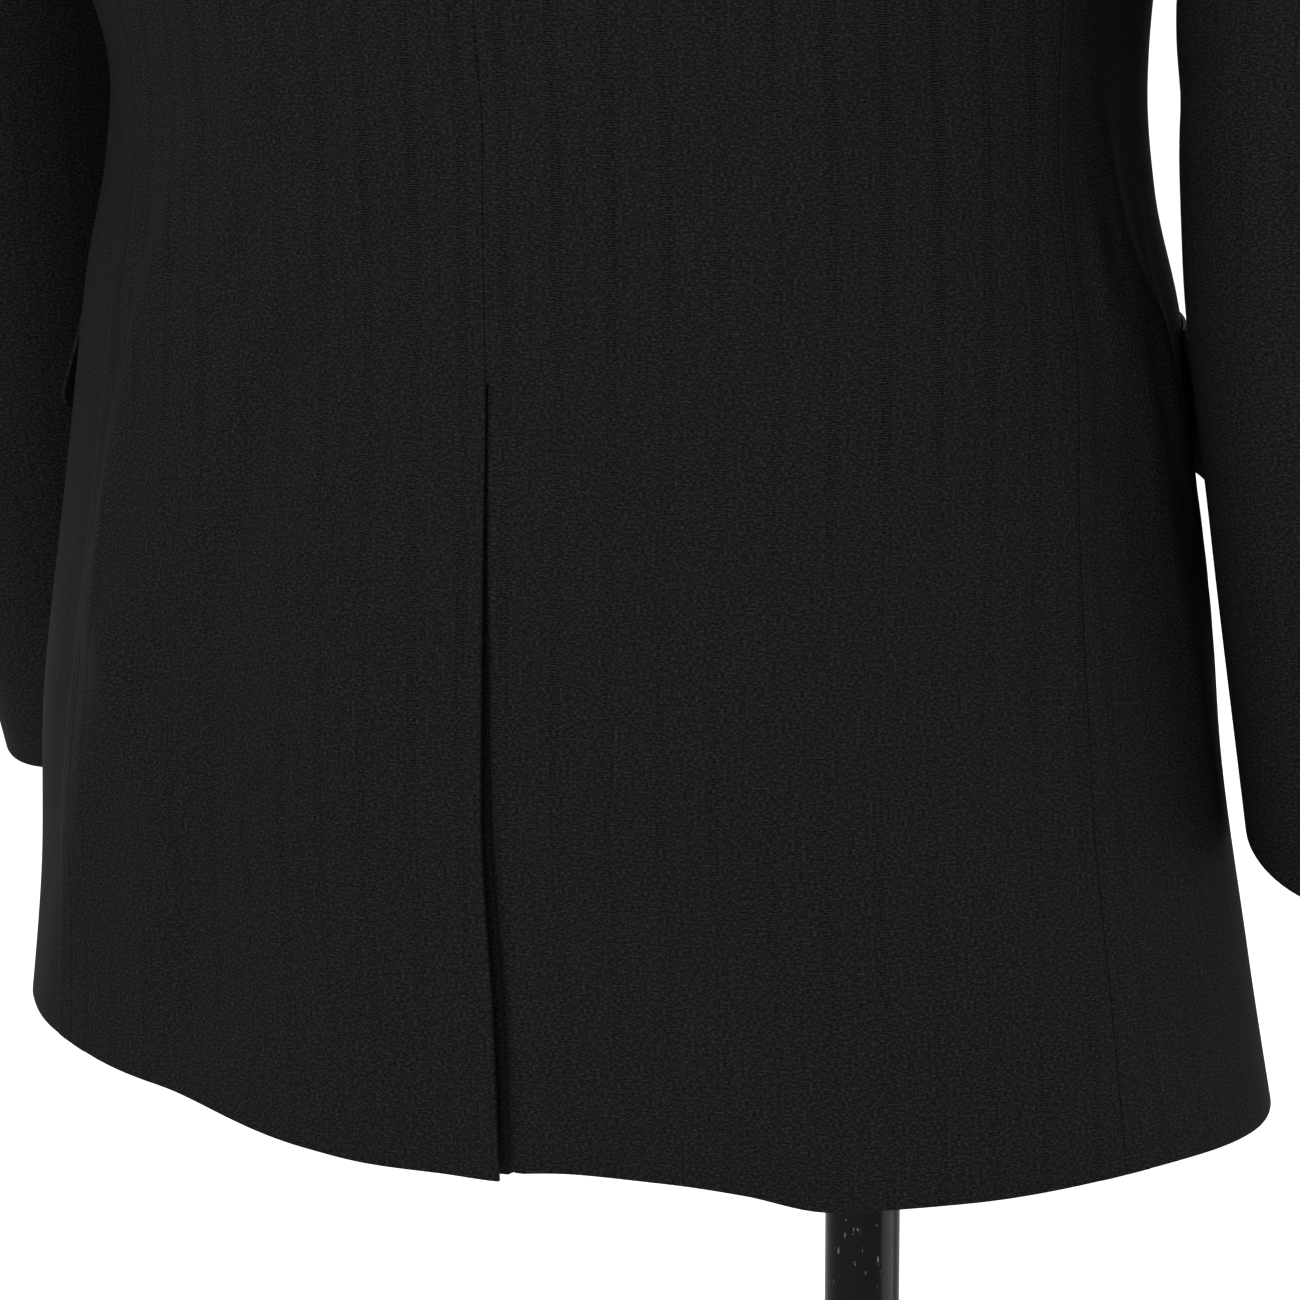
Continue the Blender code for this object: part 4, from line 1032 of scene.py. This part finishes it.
def make_button(number, height, material):
    """A front button with a raised rim, a dished middle and four sewing holes."""
    inner, outer = np.linspace(0.0002, 0.0036, 24), np.linspace(0.0040, BUTTON_RADIUS * 0.92, 10)
    turn = np.linspace(0, 2 * np.pi, ROUND_SEGMENTS, endpoint=False)
    r, t = np.meshgrid(np.concatenate([inner, outer]), turn, indexing="ij")
    across, up = r * np.cos(t), r * np.sin(t)
    raised = smooth_step(BUTTON_RADIUS * BUTTON_RIM_FROM, BUTTON_RADIUS * BUTTON_RIM_TO, r)
    rim = BUTTON_THICKNESS * (BUTTON_DISH + (1 - BUTTON_DISH) * raised)
    depth = np.zeros_like(r)
    for hole in np.radians([45, 135, 225, 315]):
        away = np.hypot(across - HOLE_RING * np.cos(hole), up - HOLE_RING * np.sin(hole))
        depth = np.maximum(depth, smooth_step(HOLE_RADIUS * 1.12, HOLE_RADIUS * 0.8, away))
    rings = list(np.stack([across, HOLE_DEPTH * depth - rim, up], -1))
    for wide, high in BUTTON_EDGE:
        x, z = wide * BUTTON_RADIUS * np.cos(turn), wide * BUTTON_RADIUS * np.sin(turn)
        rings.append(np.stack([x, 0 * x - high * BUTTON_THICKNESS, z], -1))
    return ring_solid(f"front_button_{number}_horn", np.array(rings) + button_seat(height), material, 40.0)


def make_form(material):
    """The limbless torso, closed under the hips and at the top of its neck."""
    top = FORM[-1].height
    hips = np.linspace(FORM[0].height, HIPS_TOP, 18)[:-1]
    trunk = np.linspace(HIPS_TOP, top - 0.004, 120)
    angles = np.linspace(0, 360, 160, endpoint=False)
    rings = []
    for height in (*hips, *trunk, top - 0.0015, top):
        x, y = ring_xy(FORM, angles, np.full_like(angles, height))
        share = NECK_TOP_SHARE if height == top else 1.0
        rings.append(np.stack([x * share, y * share, HEM_HEIGHT + height + 0 * x], -1))
    return ring_solid("form_torso_linen", rings, material, 50.0)


# Node trees of the materials and of the repeats.
CLOTH_BLACK = (0.0121, 0.0121, 0.0123)

# Kinds of a tree's sockets: by the type of their default, and three that have none.
SOCKETS = {float: "NodeSocketFloat", int: "NodeSocketInt", tuple: "NodeSocketVector"}
VECTOR, GEOMETRY, MATERIAL = "NodeSocketVector", "NodeSocketGeometry", "NodeSocketMaterial"


def feed(tree, made, **inputs):
    """Sets a node's sockets, named or numbered i0 and so on, to values or joins them to other sockets."""
    for name, value in inputs.items():
        numbered = name[0] == "i" and name[1:].isdigit()
        socket = made.inputs[int(name[1:]) if numbered else name.replace("_", " ")]
        if isinstance(value, bpy.types.NodeSocket):
            tree.links.new(value, socket)
        else:
            socket.default_value = value
    return made


def node(tree, kind, settings=None, **inputs):
    """A node with its settings and its sockets."""
    made = tree.nodes.new(kind)
    for name, value in (settings or {}).items():
        setattr(made, name, value)
    return feed(tree, made, **inputs)


def math(tree, operation, a, b=0.0, c=0.0, clamp=False):
    settings = {"operation": operation, "use_clamp": clamp}
    return node(tree, "ShaderNodeMath", settings, i0=a, i1=b, i2=c).outputs[0]


def times(tree, tone, value, gain, base):
    """A tone made stronger or weaker along with a value."""
    return math(tree, "MULTIPLY", tone, math(tree, "MULTIPLY_ADD", value, gain, base))


def vector_math(tree, operation, a, b):
    return node(tree, "ShaderNodeVectorMath", {"operation": operation}, i0=a, i1=b).outputs[0]


def stretched(tree, vector, **scale):
    """A place scaled by its own amount along each axis."""
    return vector_math(tree, "MULTIPLY", vector, node(tree, "ShaderNodeCombineXYZ", **scale).outputs[0])


def noise(tree, vector, scale, detail, **inputs):
    made = node(tree, "ShaderNodeTexNoise", Vector=vector, Scale=scale, Detail=detail, **inputs)
    return made.outputs["Fac"]


def ramp(tree, value, stops):
    """A lookup from a value to a grey."""
    made = node(tree, "ShaderNodeValToRGB", Fac=value)
    elements = made.color_ramp.elements
    while len(elements) < len(stops):
        elements.new(0.5)
    for element, (place, grey) in zip(elements, stops):
        element.position = place
        element.color = (grey, grey, grey, 1.0)
    return made.outputs["Color"]


def mixed(tree, factor, a, b, clamp=True):
    """A mix of two colours. Without the clamp, a factor above 1 goes on past the second colour."""
    made = node(tree, "ShaderNodeMix", {"data_type": "RGBA", "clamp_factor": clamp})
    for name, value in (("Factor_Float", factor), ("A_Color", a), ("B_Color", b)):
        socket = next(s for s in made.inputs if s.identifier == name)
        if isinstance(value, bpy.types.NodeSocket):
            tree.links.new(value, socket)
        else:
            socket.default_value = value if name == "Factor_Float" else (*value, 1.0)
    return next(s for s in made.outputs if s.identifier == "Result_Color")


def bump(tree, shader, strength, distance, height):
    made = node(tree, "ShaderNodeBump", Strength=strength, Distance=distance, Height=height)
    feed(tree, shader, Normal=made.outputs[0])


def new_tree(kind, name, inputs, outputs):
    """An empty tree with its named sockets, each given its default, or its kind where it has none."""
    tree = bpy.data.node_groups.new(name, kind)
    for in_out, sockets in (("INPUT", inputs), ("OUTPUT", outputs)):
        for label, given in sockets.items():
            socket_type = given if isinstance(given, str) else SOCKETS[type(given)]
            socket = tree.interface.new_socket(name=label, in_out=in_out, socket_type=socket_type)
            if not isinstance(given, str):
                socket.default_value = given
    return tree, tree.nodes.new("NodeGroupInput").outputs, tree.nodes.new("NodeGroupOutput")


def use_group(tree, group, **inputs):
    return feed(tree, node(tree, "ShaderNodeGroup", {"node_tree": group}), **inputs).outputs


def new_material(name, base_color, roughness, specular=0.5):
    material = bpy.data.materials.new(name)
    material.use_nodes = True
    tree = material.node_tree
    shader = tree.nodes["Principled BSDF"]
    feed(tree, shader, Base_Color=(*base_color, 1.0), Roughness=roughness, Specular_IOR_Level=specular)
    return material, tree, shader


# A repeat of the stripe: a close pair of fine lines in the middle and a single line at its ends.
STRIPE_LINES = (
    (0.0, 0.55), (0.028, 0.40), (0.05, 0.0), (0.405, 0.0), (0.425, 1.0), (0.462, 1.0), (0.482, 0.25),
    (0.518, 0.25), (0.538, 1.0), (0.575, 1.0), (0.595, 0.0), (0.95, 0.0), (0.972, 0.40), (1.0, 0.55),
)
STRIPE_BANDS = (
    (0.0, 0.35), (0.06, 0.0), (0.34, 0.0), (0.42, 1.0), (0.58, 1.0), (0.66, 0.0), (0.94, 0.0), (1.0, 0.35),
)


def stripe_group():
    """The suiting's woven stripe, broken up along its length and fading in places and towards the hem."""
    group, given, result = new_tree(
        "ShaderNodeTree",
        "woven stripe",
        {"Vector": VECTOR, "Across": 0.0, "Repeat": 0.017, "Start": 0.007},
        {"Line": 0.0, "Band": 0.0, "Streak": 0.0},
    )
    shifted = math(group, "SUBTRACT", given["Across"], given["Start"])
    turn = math(group, "ADD", math(group, "DIVIDE", shifted, given["Repeat"]), 100.5)
    place = math(group, "FRACT", turn)
    drawn_out = stretched(group, given["Vector"], X=1.0, Y=0.06, Z=1.0)
    breaks = noise(group, drawn_out, 420.0, 3.0, Roughness=0.7)
    streak = noise(group, drawn_out, 1100.0, 1.0, Roughness=0.5)
    faded = noise(group, given["Vector"], 9.0, 1.0)
    level = node(group, "ShaderNodeSeparateXYZ", Vector=given["Vector"]).outputs["Y"]
    clear = ramp(group, faded, [(0.36, 0.22), (0.60, 1.0)])
    clear = math(group, "MULTIPLY", clear, ramp(group, level, [(0.08, 0.40), (0.40, 1.0)]))
    broken = ramp(group, breaks, [(0.36, 0.0), (0.60, 1.0)])
    line = math(group, "MULTIPLY", broken, ramp(group, place, STRIPE_LINES))
    line = math(group, "MULTIPLY", line, clear)
    band = math(group, "MULTIPLY", ramp(group, place, STRIPE_BANDS), clear)
    feed(group, result, Line=line, Band=band, Streak=streak)
    return group


def grain_group():
    """A crepe grain of small raised specks, stretched across the cloth, with a slow change of tone."""
    group, given, result = new_tree(
        "ShaderNodeTree",
        "fine grain",
        {"Vector": VECTOR, "Per metre": 900.0, "Stretch": 1.6, "Slow per metre": 14.0},
        {"Speck": 0.0, "Thread": 0.0, "Slow": 0.0},
    )
    scaled = stretched(group, given["Vector"], X=1.0, Y=given["Stretch"], Z=1.0)
    speck = noise(group, scaled, given["Per metre"], 2.0, Roughness=0.55)
    sharp = ramp(group, speck, [(0.34, 0.04), (0.50, 0.28), (0.59, 0.60), (0.69, 1.0)])
    picks = math(group, "MULTIPLY", given["Per metre"], 0.40)
    thread = node(
        group,
        "ShaderNodeTexWave",
        {"bands_direction": "Y"},
        Vector=given["Vector"],
        Scale=picks,
        Distortion=7.0,
        Detail=1.0,
        Detail_Scale=0.35,
    )
    slow = noise(group, given["Vector"], given["Slow per metre"], 3.0, Roughness=0.6)
    feed(group, result, Speck=sharp, Thread=thread.outputs["Fac"], Slow=slow)
    return group


def make_suiting(stripes, grain):
    material, tree, shader = new_material("suiting_shadow_stripe", CLOTH_BLACK, 0.85, specular=0.065)
    uv = node(tree, "ShaderNodeUVMap", {"uv_map": "cloth"}).outputs[0]
    across = node(tree, "ShaderNodeSeparateXYZ", Vector=uv).outputs["X"]
    stripe = use_group(tree, stripes, Vector=uv, Across=across)
    fine = use_group(tree, grain, Vector=uv)
    line, band, speck = stripe["Line"], stripe["Band"], fine["Speck"]
    crinkle = math(tree, "MULTIPLY", math(tree, "SUBTRACT", fine["Thread"], 0.5), band)
    tone = math(tree, "MULTIPLY_ADD", speck, 2.05, 0.30)
    tone = math(tree, "MAXIMUM", math(tree, "MULTIPLY_ADD", crinkle, 1.8, tone), 0.15)
    for value, gain, base in (
        (line, -0.24, 1.0),
        (band, -0.11, 1.03),
        (stripe["Streak"], 0.24, 0.88),
        (fine["Slow"], 0.16, 0.92),
    ):
        tone = times(tree, tone, value, gain, base)
    colour = mixed(tree, tone, (0.0, 0.0, 0.0), CLOTH_BLACK, clamp=False)
    feed(tree, shader, Base_Color=colour, Roughness=math(tree, "MULTIPLY_ADD", line, 0.08, 0.78))
    height = math(tree, "MULTIPLY_ADD", crinkle, 0.6, speck)
    bump(tree, shader, 0.35, 0.0002, math(tree, "MULTIPLY_ADD", line, -0.5, height))
    return material


def make_linen(grain):
    material, tree, shader = new_material("form_linen_cover", (0.52, 0.48, 0.41), 0.9, specular=0.2)
    place = node(tree, "ShaderNodeTexCoord").outputs["Object"]
    fine = use_group(tree, grain, Vector=place, Per_metre=700.0, Stretch=1.0, Slow_per_metre=9.0)
    tone = math(tree, "MULTIPLY_ADD", fine["Speck"], 0.45, 0.72)
    tone = math(tree, "MULTIPLY_ADD", fine["Thread"], 0.18, tone)
    tone = times(tree, tone, fine["Slow"], 0.30, 0.84)
    feed(tree, shader, Base_Color=mixed(tree, tone, (0.05, 0.045, 0.035), (0.56, 0.52, 0.44)))
    bump(tree, shader, 0.4, 0.0003, math(tree, "ADD", fine["Thread"], fine["Speck"]))
    return material


def wear_group():
    """Chips and scratches of a painted surface, longer up and down than across."""
    group, given, result = new_tree(
        "ShaderNodeTree",
        "paint wear",
        {"Vector": VECTOR, "Chips": 0.72, "Lengthwise": 0.35},
        {"Bare": 0.0, "Scuff": 0.0},
    )
    scaled = stretched(group, given["Vector"], X=1.0, Y=1.0, Z=given["Lengthwise"])
    chips = noise(group, scaled, 950.0, 2.0, Roughness=0.5)
    worn = math(group, "MULTIPLY_ADD", noise(group, given["Vector"], 60.0, 1.0), 0.16, -0.08)
    edge = math(group, "SUBTRACT", math(group, "ADD", chips, worn), given["Chips"])
    bare = math(group, "MULTIPLY", edge, 30.0, clamp=True)
    feed(group, result, Bare=bare, Scuff=noise(group, scaled, 90.0, 4.0, Roughness=0.65))
    return group


def make_paint(name, wear, chips, roughness):
    material, tree, shader = new_material(name, (0.006, 0.006, 0.006), roughness, specular=0.13)
    place = node(tree, "ShaderNodeTexCoord").outputs["Object"]
    marks = use_group(tree, wear, Vector=place, Chips=chips)
    bare, scuff = marks["Bare"], marks["Scuff"]
    painted = mixed(tree, scuff, (0.003, 0.003, 0.003), (0.011, 0.011, 0.011))
    dull = math(tree, "MULTIPLY_ADD", scuff, 0.25, roughness - 0.12)
    rough = math(tree, "MULTIPLY_ADD", bare, 0.2, dull)
    feed(tree, shader, Base_Color=mixed(tree, bare, painted, (0.30, 0.29, 0.28)), Roughness=rough)
    height = math(tree, "SUBTRACT", math(tree, "MULTIPLY", scuff, 0.25), bare)
    bump(tree, shader, 0.5, 0.0002, height)
    return material


def make_thread(grain):
    material, tree, shader = new_material("thread_black_silk", (0.010, 0.010, 0.011), 0.45, specular=0.35)
    place = node(tree, "ShaderNodeTexCoord").outputs["Object"]
    fine = use_group(tree, grain, Vector=place, Per_metre=2600.0, Stretch=1.0)
    feed(tree, shader, Base_Color=mixed(tree, fine["Speck"], (0.006, 0.006, 0.006), (0.024, 0.024, 0.026)))
    bump(tree, shader, 0.5, 0.00008, fine["Thread"])
    return material


def make_horn():
    material, tree, shader = new_material("button_polished_horn", (0.012, 0.011, 0.011), 0.22)
    place = node(tree, "ShaderNodeTexCoord").outputs["Object"]
    cloud = noise(tree, place, 180.0, 4.0, Distortion=1.5)
    colour = mixed(tree, cloud, (0.006, 0.005, 0.005), (0.030, 0.026, 0.023))
    feed(tree, shader, Base_Color=colour, Roughness=math(tree, "MULTIPLY_ADD", cloud, 0.2, 0.14))
    return material


def end_tree(tree, given, result, points, **inputs):
    """Puts instances on points, makes them real and gives them the tree's material."""
    placed = node(tree, "GeometryNodeInstanceOnPoints", Points=points, **inputs)
    real = node(tree, "GeometryNodeRealizeInstances", i0=placed.outputs[0])
    painted = node(tree, "GeometryNodeSetMaterial", Geometry=real.outputs[0], Material=given["Material"])
    feed(tree, result, Geometry=painted.outputs[0])


def stitch_tree():
    """Bars of thread set side by side along a path, each standing across it."""
    tree, given, result = new_tree(
        "GeometryNodeTree",
        "stitches along a path",
        {
            "Geometry": GEOMETRY,
            "Spacing": 0.0006,
            "Thread radius": 0.00022,
            "Stitch length": 0.0016,
            "Facing": (0.0, -1.0, 0.0),
            "Unevenness": 0.12,
            "Seed": 7,
            "Material": MATERIAL,
        },
        {"Geometry": GEOMETRY},
    )
    curve = node(tree, "GeometryNodeMeshToCurve", Mesh=given["Geometry"]).outputs[0]
    even = node(tree, "GeometryNodeResampleCurve", {"mode": "LENGTH"}, Curve=curve, Length=given["Spacing"])
    bar = node(tree, "GeometryNodeMeshCylinder", Vertices=8, Side_Segments=1)
    feed(tree, bar, Radius=given["Thread radius"], Depth=given["Stitch length"])
    tangent = node(tree, "GeometryNodeInputTangent").outputs[0]
    across = vector_math(tree, "CROSS_PRODUCT", tangent, given["Facing"])
    turn = node(tree, "FunctionNodeAlignRotationToVector", {"axis": "Z"}, Vector=across)
    least = math(tree, "SUBTRACT", 1.0, given["Unevenness"])
    vary = node(tree, "FunctionNodeRandomValue", {"data_type": "FLOAT"}, i2=least, i3=1.0)
    feed(tree, vary, Seed=given["Seed"])
    end_tree(
        tree,
        given,
        result,
        even.outputs[0],
        Instance=bar.outputs["Mesh"],
        Rotation=turn.outputs[0],
        Scale=vary.outputs[1],
    )
    return tree


def ring_tree():
    """The same small part set evenly round a ring."""
    tree, given, result = new_tree(
        "GeometryNodeTree",
        "parts round a ring",
        {
            "Geometry": GEOMETRY,
            "Count": 4,
            "Ring radius": 0.027,
            "Centre": (0.0, 0.0, 0.0),
            "Material": MATERIAL,
        },
        {"Geometry": GEOMETRY},
    )
    ring = node(tree, "GeometryNodeMeshCircle", Vertices=given["Count"], Radius=given["Ring radius"])
    moved = node(tree, "GeometryNodeTransform", Geometry=ring.outputs[0], Translation=given["Centre"])
    end_tree(tree, given, result, moved.outputs[0], Instance=given["Geometry"])
    return tree


def grow(name, start, tree, **values):
    """Runs a tree on a starting object and keeps its result as a plain mesh in the start's place."""
    modifier = start.modifiers.new("repeat", "NODES")
    modifier.node_group = tree
    for item in tree.interface.items_tree:
        key = item.name.replace(" ", "_").lower()
        if item.in_out == "INPUT" and key in values:
            modifier[item.identifier] = values[key]
    ready = start.evaluated_get(bpy.context.evaluated_depsgraph_get())
    mesh = bpy.data.meshes.new_from_object(ready)
    mesh.name = name
    mesh.shade_smooth()
    mesh.set_sharp_from_angle(angle=np.radians(40.0))
    piece = new_object(name, mesh)
    bpy.data.objects.remove(start)
    return piece


def path_object(points, closed=False):
    last = len(points) - 1
    mesh = bpy.data.meshes.new("path")
    mesh.from_pydata(
        [tuple(point) for point in points], [(i, i + 1) for i in range(last)] + [(last, 0)] * closed, []
    )
    return new_object("path", mesh)


def make_buttonhole(number, height, tree, material):
    """The worked edge of a buttonhole in the left front: its outer end lies under the button."""
    half_slit, start, stop = 0.00075, -0.004, 0.017
    eye = 1.4 * half_slit
    turn = np.linspace(np.pi / 2, 3 * np.pi / 2, 7)
    outline = [(start + half_slit * np.cos(t), half_slit * np.sin(t)) for t in turn]
    outline += [(x, -half_slit) for x in np.linspace(start, stop, 12)[1:]]
    outline += [(stop + eye * np.cos(t + np.pi), eye * np.sin(t + np.pi)) for t in turn]
    outline += [(x, half_slit) for x in np.linspace(stop, start, 12)[1:-1]]
    x, rise = np.array(outline).T
    points = body_point(front_angle(height + rise, x), height + rise, out=CLOTH + 0.00005)
    return grow(
        f"buttonhole_{number}_thread",
        path_object(points, closed=True),
        tree,
        spacing=0.00055,
        thread_radius=0.00026,
        stitch_length=0.0017,
        seed=number,
        material=material,
    )


def make_button_thread(number, bar, height, tree, material):
    """One of the two bars of thread that hold a button, laid between two of its holes."""
    seat = button_seat(height)
    front = seat[1] - BUTTON_THICKNESS * BUTTON_DISH - 0.00012
    middle = seat[0] + (-1, 1)[bar - 1] * HOLE_RING * np.sin(np.pi / 4)
    points = [(middle + shift, front, seat[2]) for shift in (-0.00045, -0.00015, 0.00015, 0.00045)]
    return grow(
        f"button_{number}_thread_{bar}",
        path_object(points),
        tree,
        spacing=0.0003,
        thread_radius=0.00017,
        stitch_length=0.0033,
        unevenness=0.04,
        seed=number,
        material=material,
    )


SCREW_HEAD = (
    (0.0009, 0.0), (0.0034, 0.0), (0.0034, 0.0006), (0.0028, 0.0017), (0.0015, 0.0021), (0.0014, 0.0010),
)


def make_screws(tree, material):
    """Four pan-head screws that hold the flange to the base plate."""
    profile = rounded_profile(SCREW_HEAD, 0.0005, steps=4)
    template = turned_piece("screw_head", profile, (0, 0, 0), material, segments=24)
    return grow(
        "flange_screws_metal",
        template,
        tree,
        count=4,
        ring_radius=(FLANGE_RADIUS + FLANGE_HUB) / 2,
        centre=(POLE_X, 0.0, BASE_THICKNESS + METAL_GAP + 0.0050),
        material=material,
    )


# Making of the pieces.
stripes, grain, wear = stripe_group(), grain_group(), wear_group()
suiting = make_suiting(stripes, grain)
linen = make_linen(grain)
pole_paint = make_paint("stand_chipped_paint", wear, 0.69, 0.20)
horn = make_horn()
thread = make_thread(grain)


def add(piece, stands_for):
    if stands_for:
        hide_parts(stands_for)
    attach(piece, "root")


for side in (1, -1):
    for make, kind in (
        (make_back, "back"),
        (make_side, "side"),
        (make_front, "front"),
        (make_lapel, "lapel"),
        (make_flap, "pocket_flap"),
        (make_jet, "pocket_jet"),
    ):
        add(make(side, suiting), f"{kind}_{side_name(side)}")
    for kind, start, stop in (
        ("top_sleeve", FOREARM_SEAM - 360, HINDARM_SEAM),
        ("under_sleeve", HINDARM_SEAM, FOREARM_SEAM),
    ):
        add(make_sleeve(side, start, stop, kind, suiting), f"{kind}_{side_name(side)}")
add(make_collar(suiting), "collar")
for number, height in enumerate(BUTTON_HEIGHTS, start=1):
    add(make_button(number, height, horn), f"front_button_{number}")
add(make_form(linen), "form_torso")
stitches, ring = stitch_tree(), ring_tree()
for number, height in enumerate(BUTTON_HEIGHTS, start=1):
    add(make_buttonhole(number, height, stitches, thread), None)
    for bar in (1, 2):
        add(make_button_thread(number, bar, height, stitches, thread), None)
add(make_screws(ring, pole_paint), None)

# The stand's turned pieces: the outline of each from its foot up, with the radius of its corners, its
# place and its fineness.
foot = BASE_THICKNESS + METAL_GAP
neck_top = HEM_HEIGHT + FORM[-1].height + METAL_GAP
pole_length = HEM_HEIGHT + FORM[0].height - METAL_GAP - foot
NECK_CAP = (
    (0.050, 0.0), (0.054, 0.003), (0.054, 0.009), (0.047, 0.013),
    (0.016, 0.015), (0.012, 0.019), (0.014, 0.026), (0.008, 0.031),
)
FLANGE = (
    (FLANGE_RADIUS - 0.0005, 0.0),
    (FLANGE_RADIUS, 0.0005),
    (FLANGE_RADIUS, 0.004),
    (FLANGE_HUB, 0.007),
    (0.0175, FLANGE_HEIGHT),
    (POLE_RADIUS + METAL_GAP, FLANGE_HEIGHT),
)
PLATE = (
    (BASE_RADIUS - 0.0008, 0.0),
    (BASE_RADIUS, 0.0008),
    (BASE_RADIUS, BASE_THICKNESS - 0.0015),
    (BASE_RADIUS - 0.0015, BASE_THICKNESS),
    (0.12, BASE_THICKNESS),
)
POLE = [(POLE_RADIUS, z) for z in np.linspace(0, pole_length, 60)]
for stands_for, profile, place, segments in (
    ("neck_cap", rounded_profile(NECK_CAP, 0.002), (0, -0.002, neck_top), ROUND_SEGMENTS),
    ("pole", POLE, (POLE_X, 0, foot), ROUND_SEGMENTS),
    ("pole_flange", rounded_profile(FLANGE, 0.0015), (POLE_X, 0, foot), ROUND_SEGMENTS),
    ("base_plate", rounded_profile(PLATE, 0.0015), (0, 0, 0), 160),
):
    piece = turned_piece(f"{stands_for}_paint", profile, place, pole_paint, segments)
    add(piece, stands_for)


# Stage, light and camera.
WORLD_LIGHT = 0.50
FLOOR_REACH = 30.0
FLOOR_GLOW = 0.65
WHITE = (1.0, 1.0, 1.0, 1.0)
AZIMUTH, ELEVATION, DISTANCE = np.radians(200.0), np.radians(15.5), 2.6
TARGET = Vector((-0.0072, 0.0, 0.9394))
METRES_PER_PIXEL = 0.000331
PICTURE_WIDTH = 1300
SENSOR_WIDTH = 36.0
CENTRE = (0.0, 0.0, 1.1)


def camera_sees(tree, gain, base):
    """A strength with its own amount where the camera sees it directly."""
    seen = node(tree, "ShaderNodeLightPath").outputs["Is Camera Ray"]
    return math(tree, "MULTIPLY_ADD", seen, gain, base)


def area_light(name, place, target, size, power):
    light = bpy.data.lights.new(name, "AREA")
    light.shape = "RECTANGLE"
    light.size, light.size_y = size
    light.energy = power
    obj = new_object(name, light)
    obj.location = place
    obj.rotation_euler = (Vector(target) - Vector(place)).to_track_quat("-Z", "Y").to_euler()
    return obj


mesh = bpy.data.meshes.new("floor")
corners = [(x * FLOOR_REACH, y * FLOOR_REACH, 0) for x, y in ((-1, -1), (1, -1), (1, 1), (-1, 1))]
mesh.from_pydata(corners, [], [(0, 1, 2, 3)])
material, tree, shader = new_material("floor_white", (0.55, 0.55, 0.55), 0.95, specular=0.0)
feed(tree, shader, Emission_Color=WHITE, Emission_Strength=camera_sees(tree, FLOOR_GLOW, 0.0))
mesh.materials.append(material)
new_object("floor", mesh)

world = bpy.data.worlds.new("studio")
bpy.context.scene.world = world
world.use_nodes = True
tree = world.node_tree
glow = camera_sees(tree, 1.0 - WORLD_LIGHT, WORLD_LIGHT)
feed(tree, tree.nodes["Background"], Color=WHITE, Strength=glow)
area_light("key", (2.05, -1.55, 1.8), CENTRE, (0.4, 1.5), 8.0)
low_panel = area_light("low panel", (-1.5, -0.4, 0.42), (-0.08, 0.0, 0.75), (1.3, 0.7), 7.0)
low_panel.visible_diffuse = False
low_panel.visible_camera = False
area_light("back", (0.10, 3.4, 1.9), CENTRE, (2.2, 2.2), 36.0)
area_light("front", (1.2, -3.1, 2.0), CENTRE, (2.2, 2.2), 40.0)
overhead = bpy.data.lights.new("overhead", "SUN")
overhead.energy = 1.2
overhead.angle = np.radians(50.0)
new_object("overhead", overhead)

lens = bpy.data.cameras.new("camera")
camera = new_object("camera", lens)
bpy.context.scene.camera = camera
level = np.cos(ELEVATION)
back = Vector((np.sin(AZIMUTH) * level, -np.cos(AZIMUTH) * level, np.sin(ELEVATION)))
camera.location = TARGET + back * DISTANCE
camera.rotation_euler = (-back).to_track_quat("-Z", "Y").to_euler()
lens.sensor_width = SENSOR_WIDTH
lens.lens = SENSOR_WIDTH * DISTANCE / (METRES_PER_PIXEL * PICTURE_WIDTH)
lens.clip_end = 100.0

bpy.context.scene.view_settings.view_transform = "Standard"
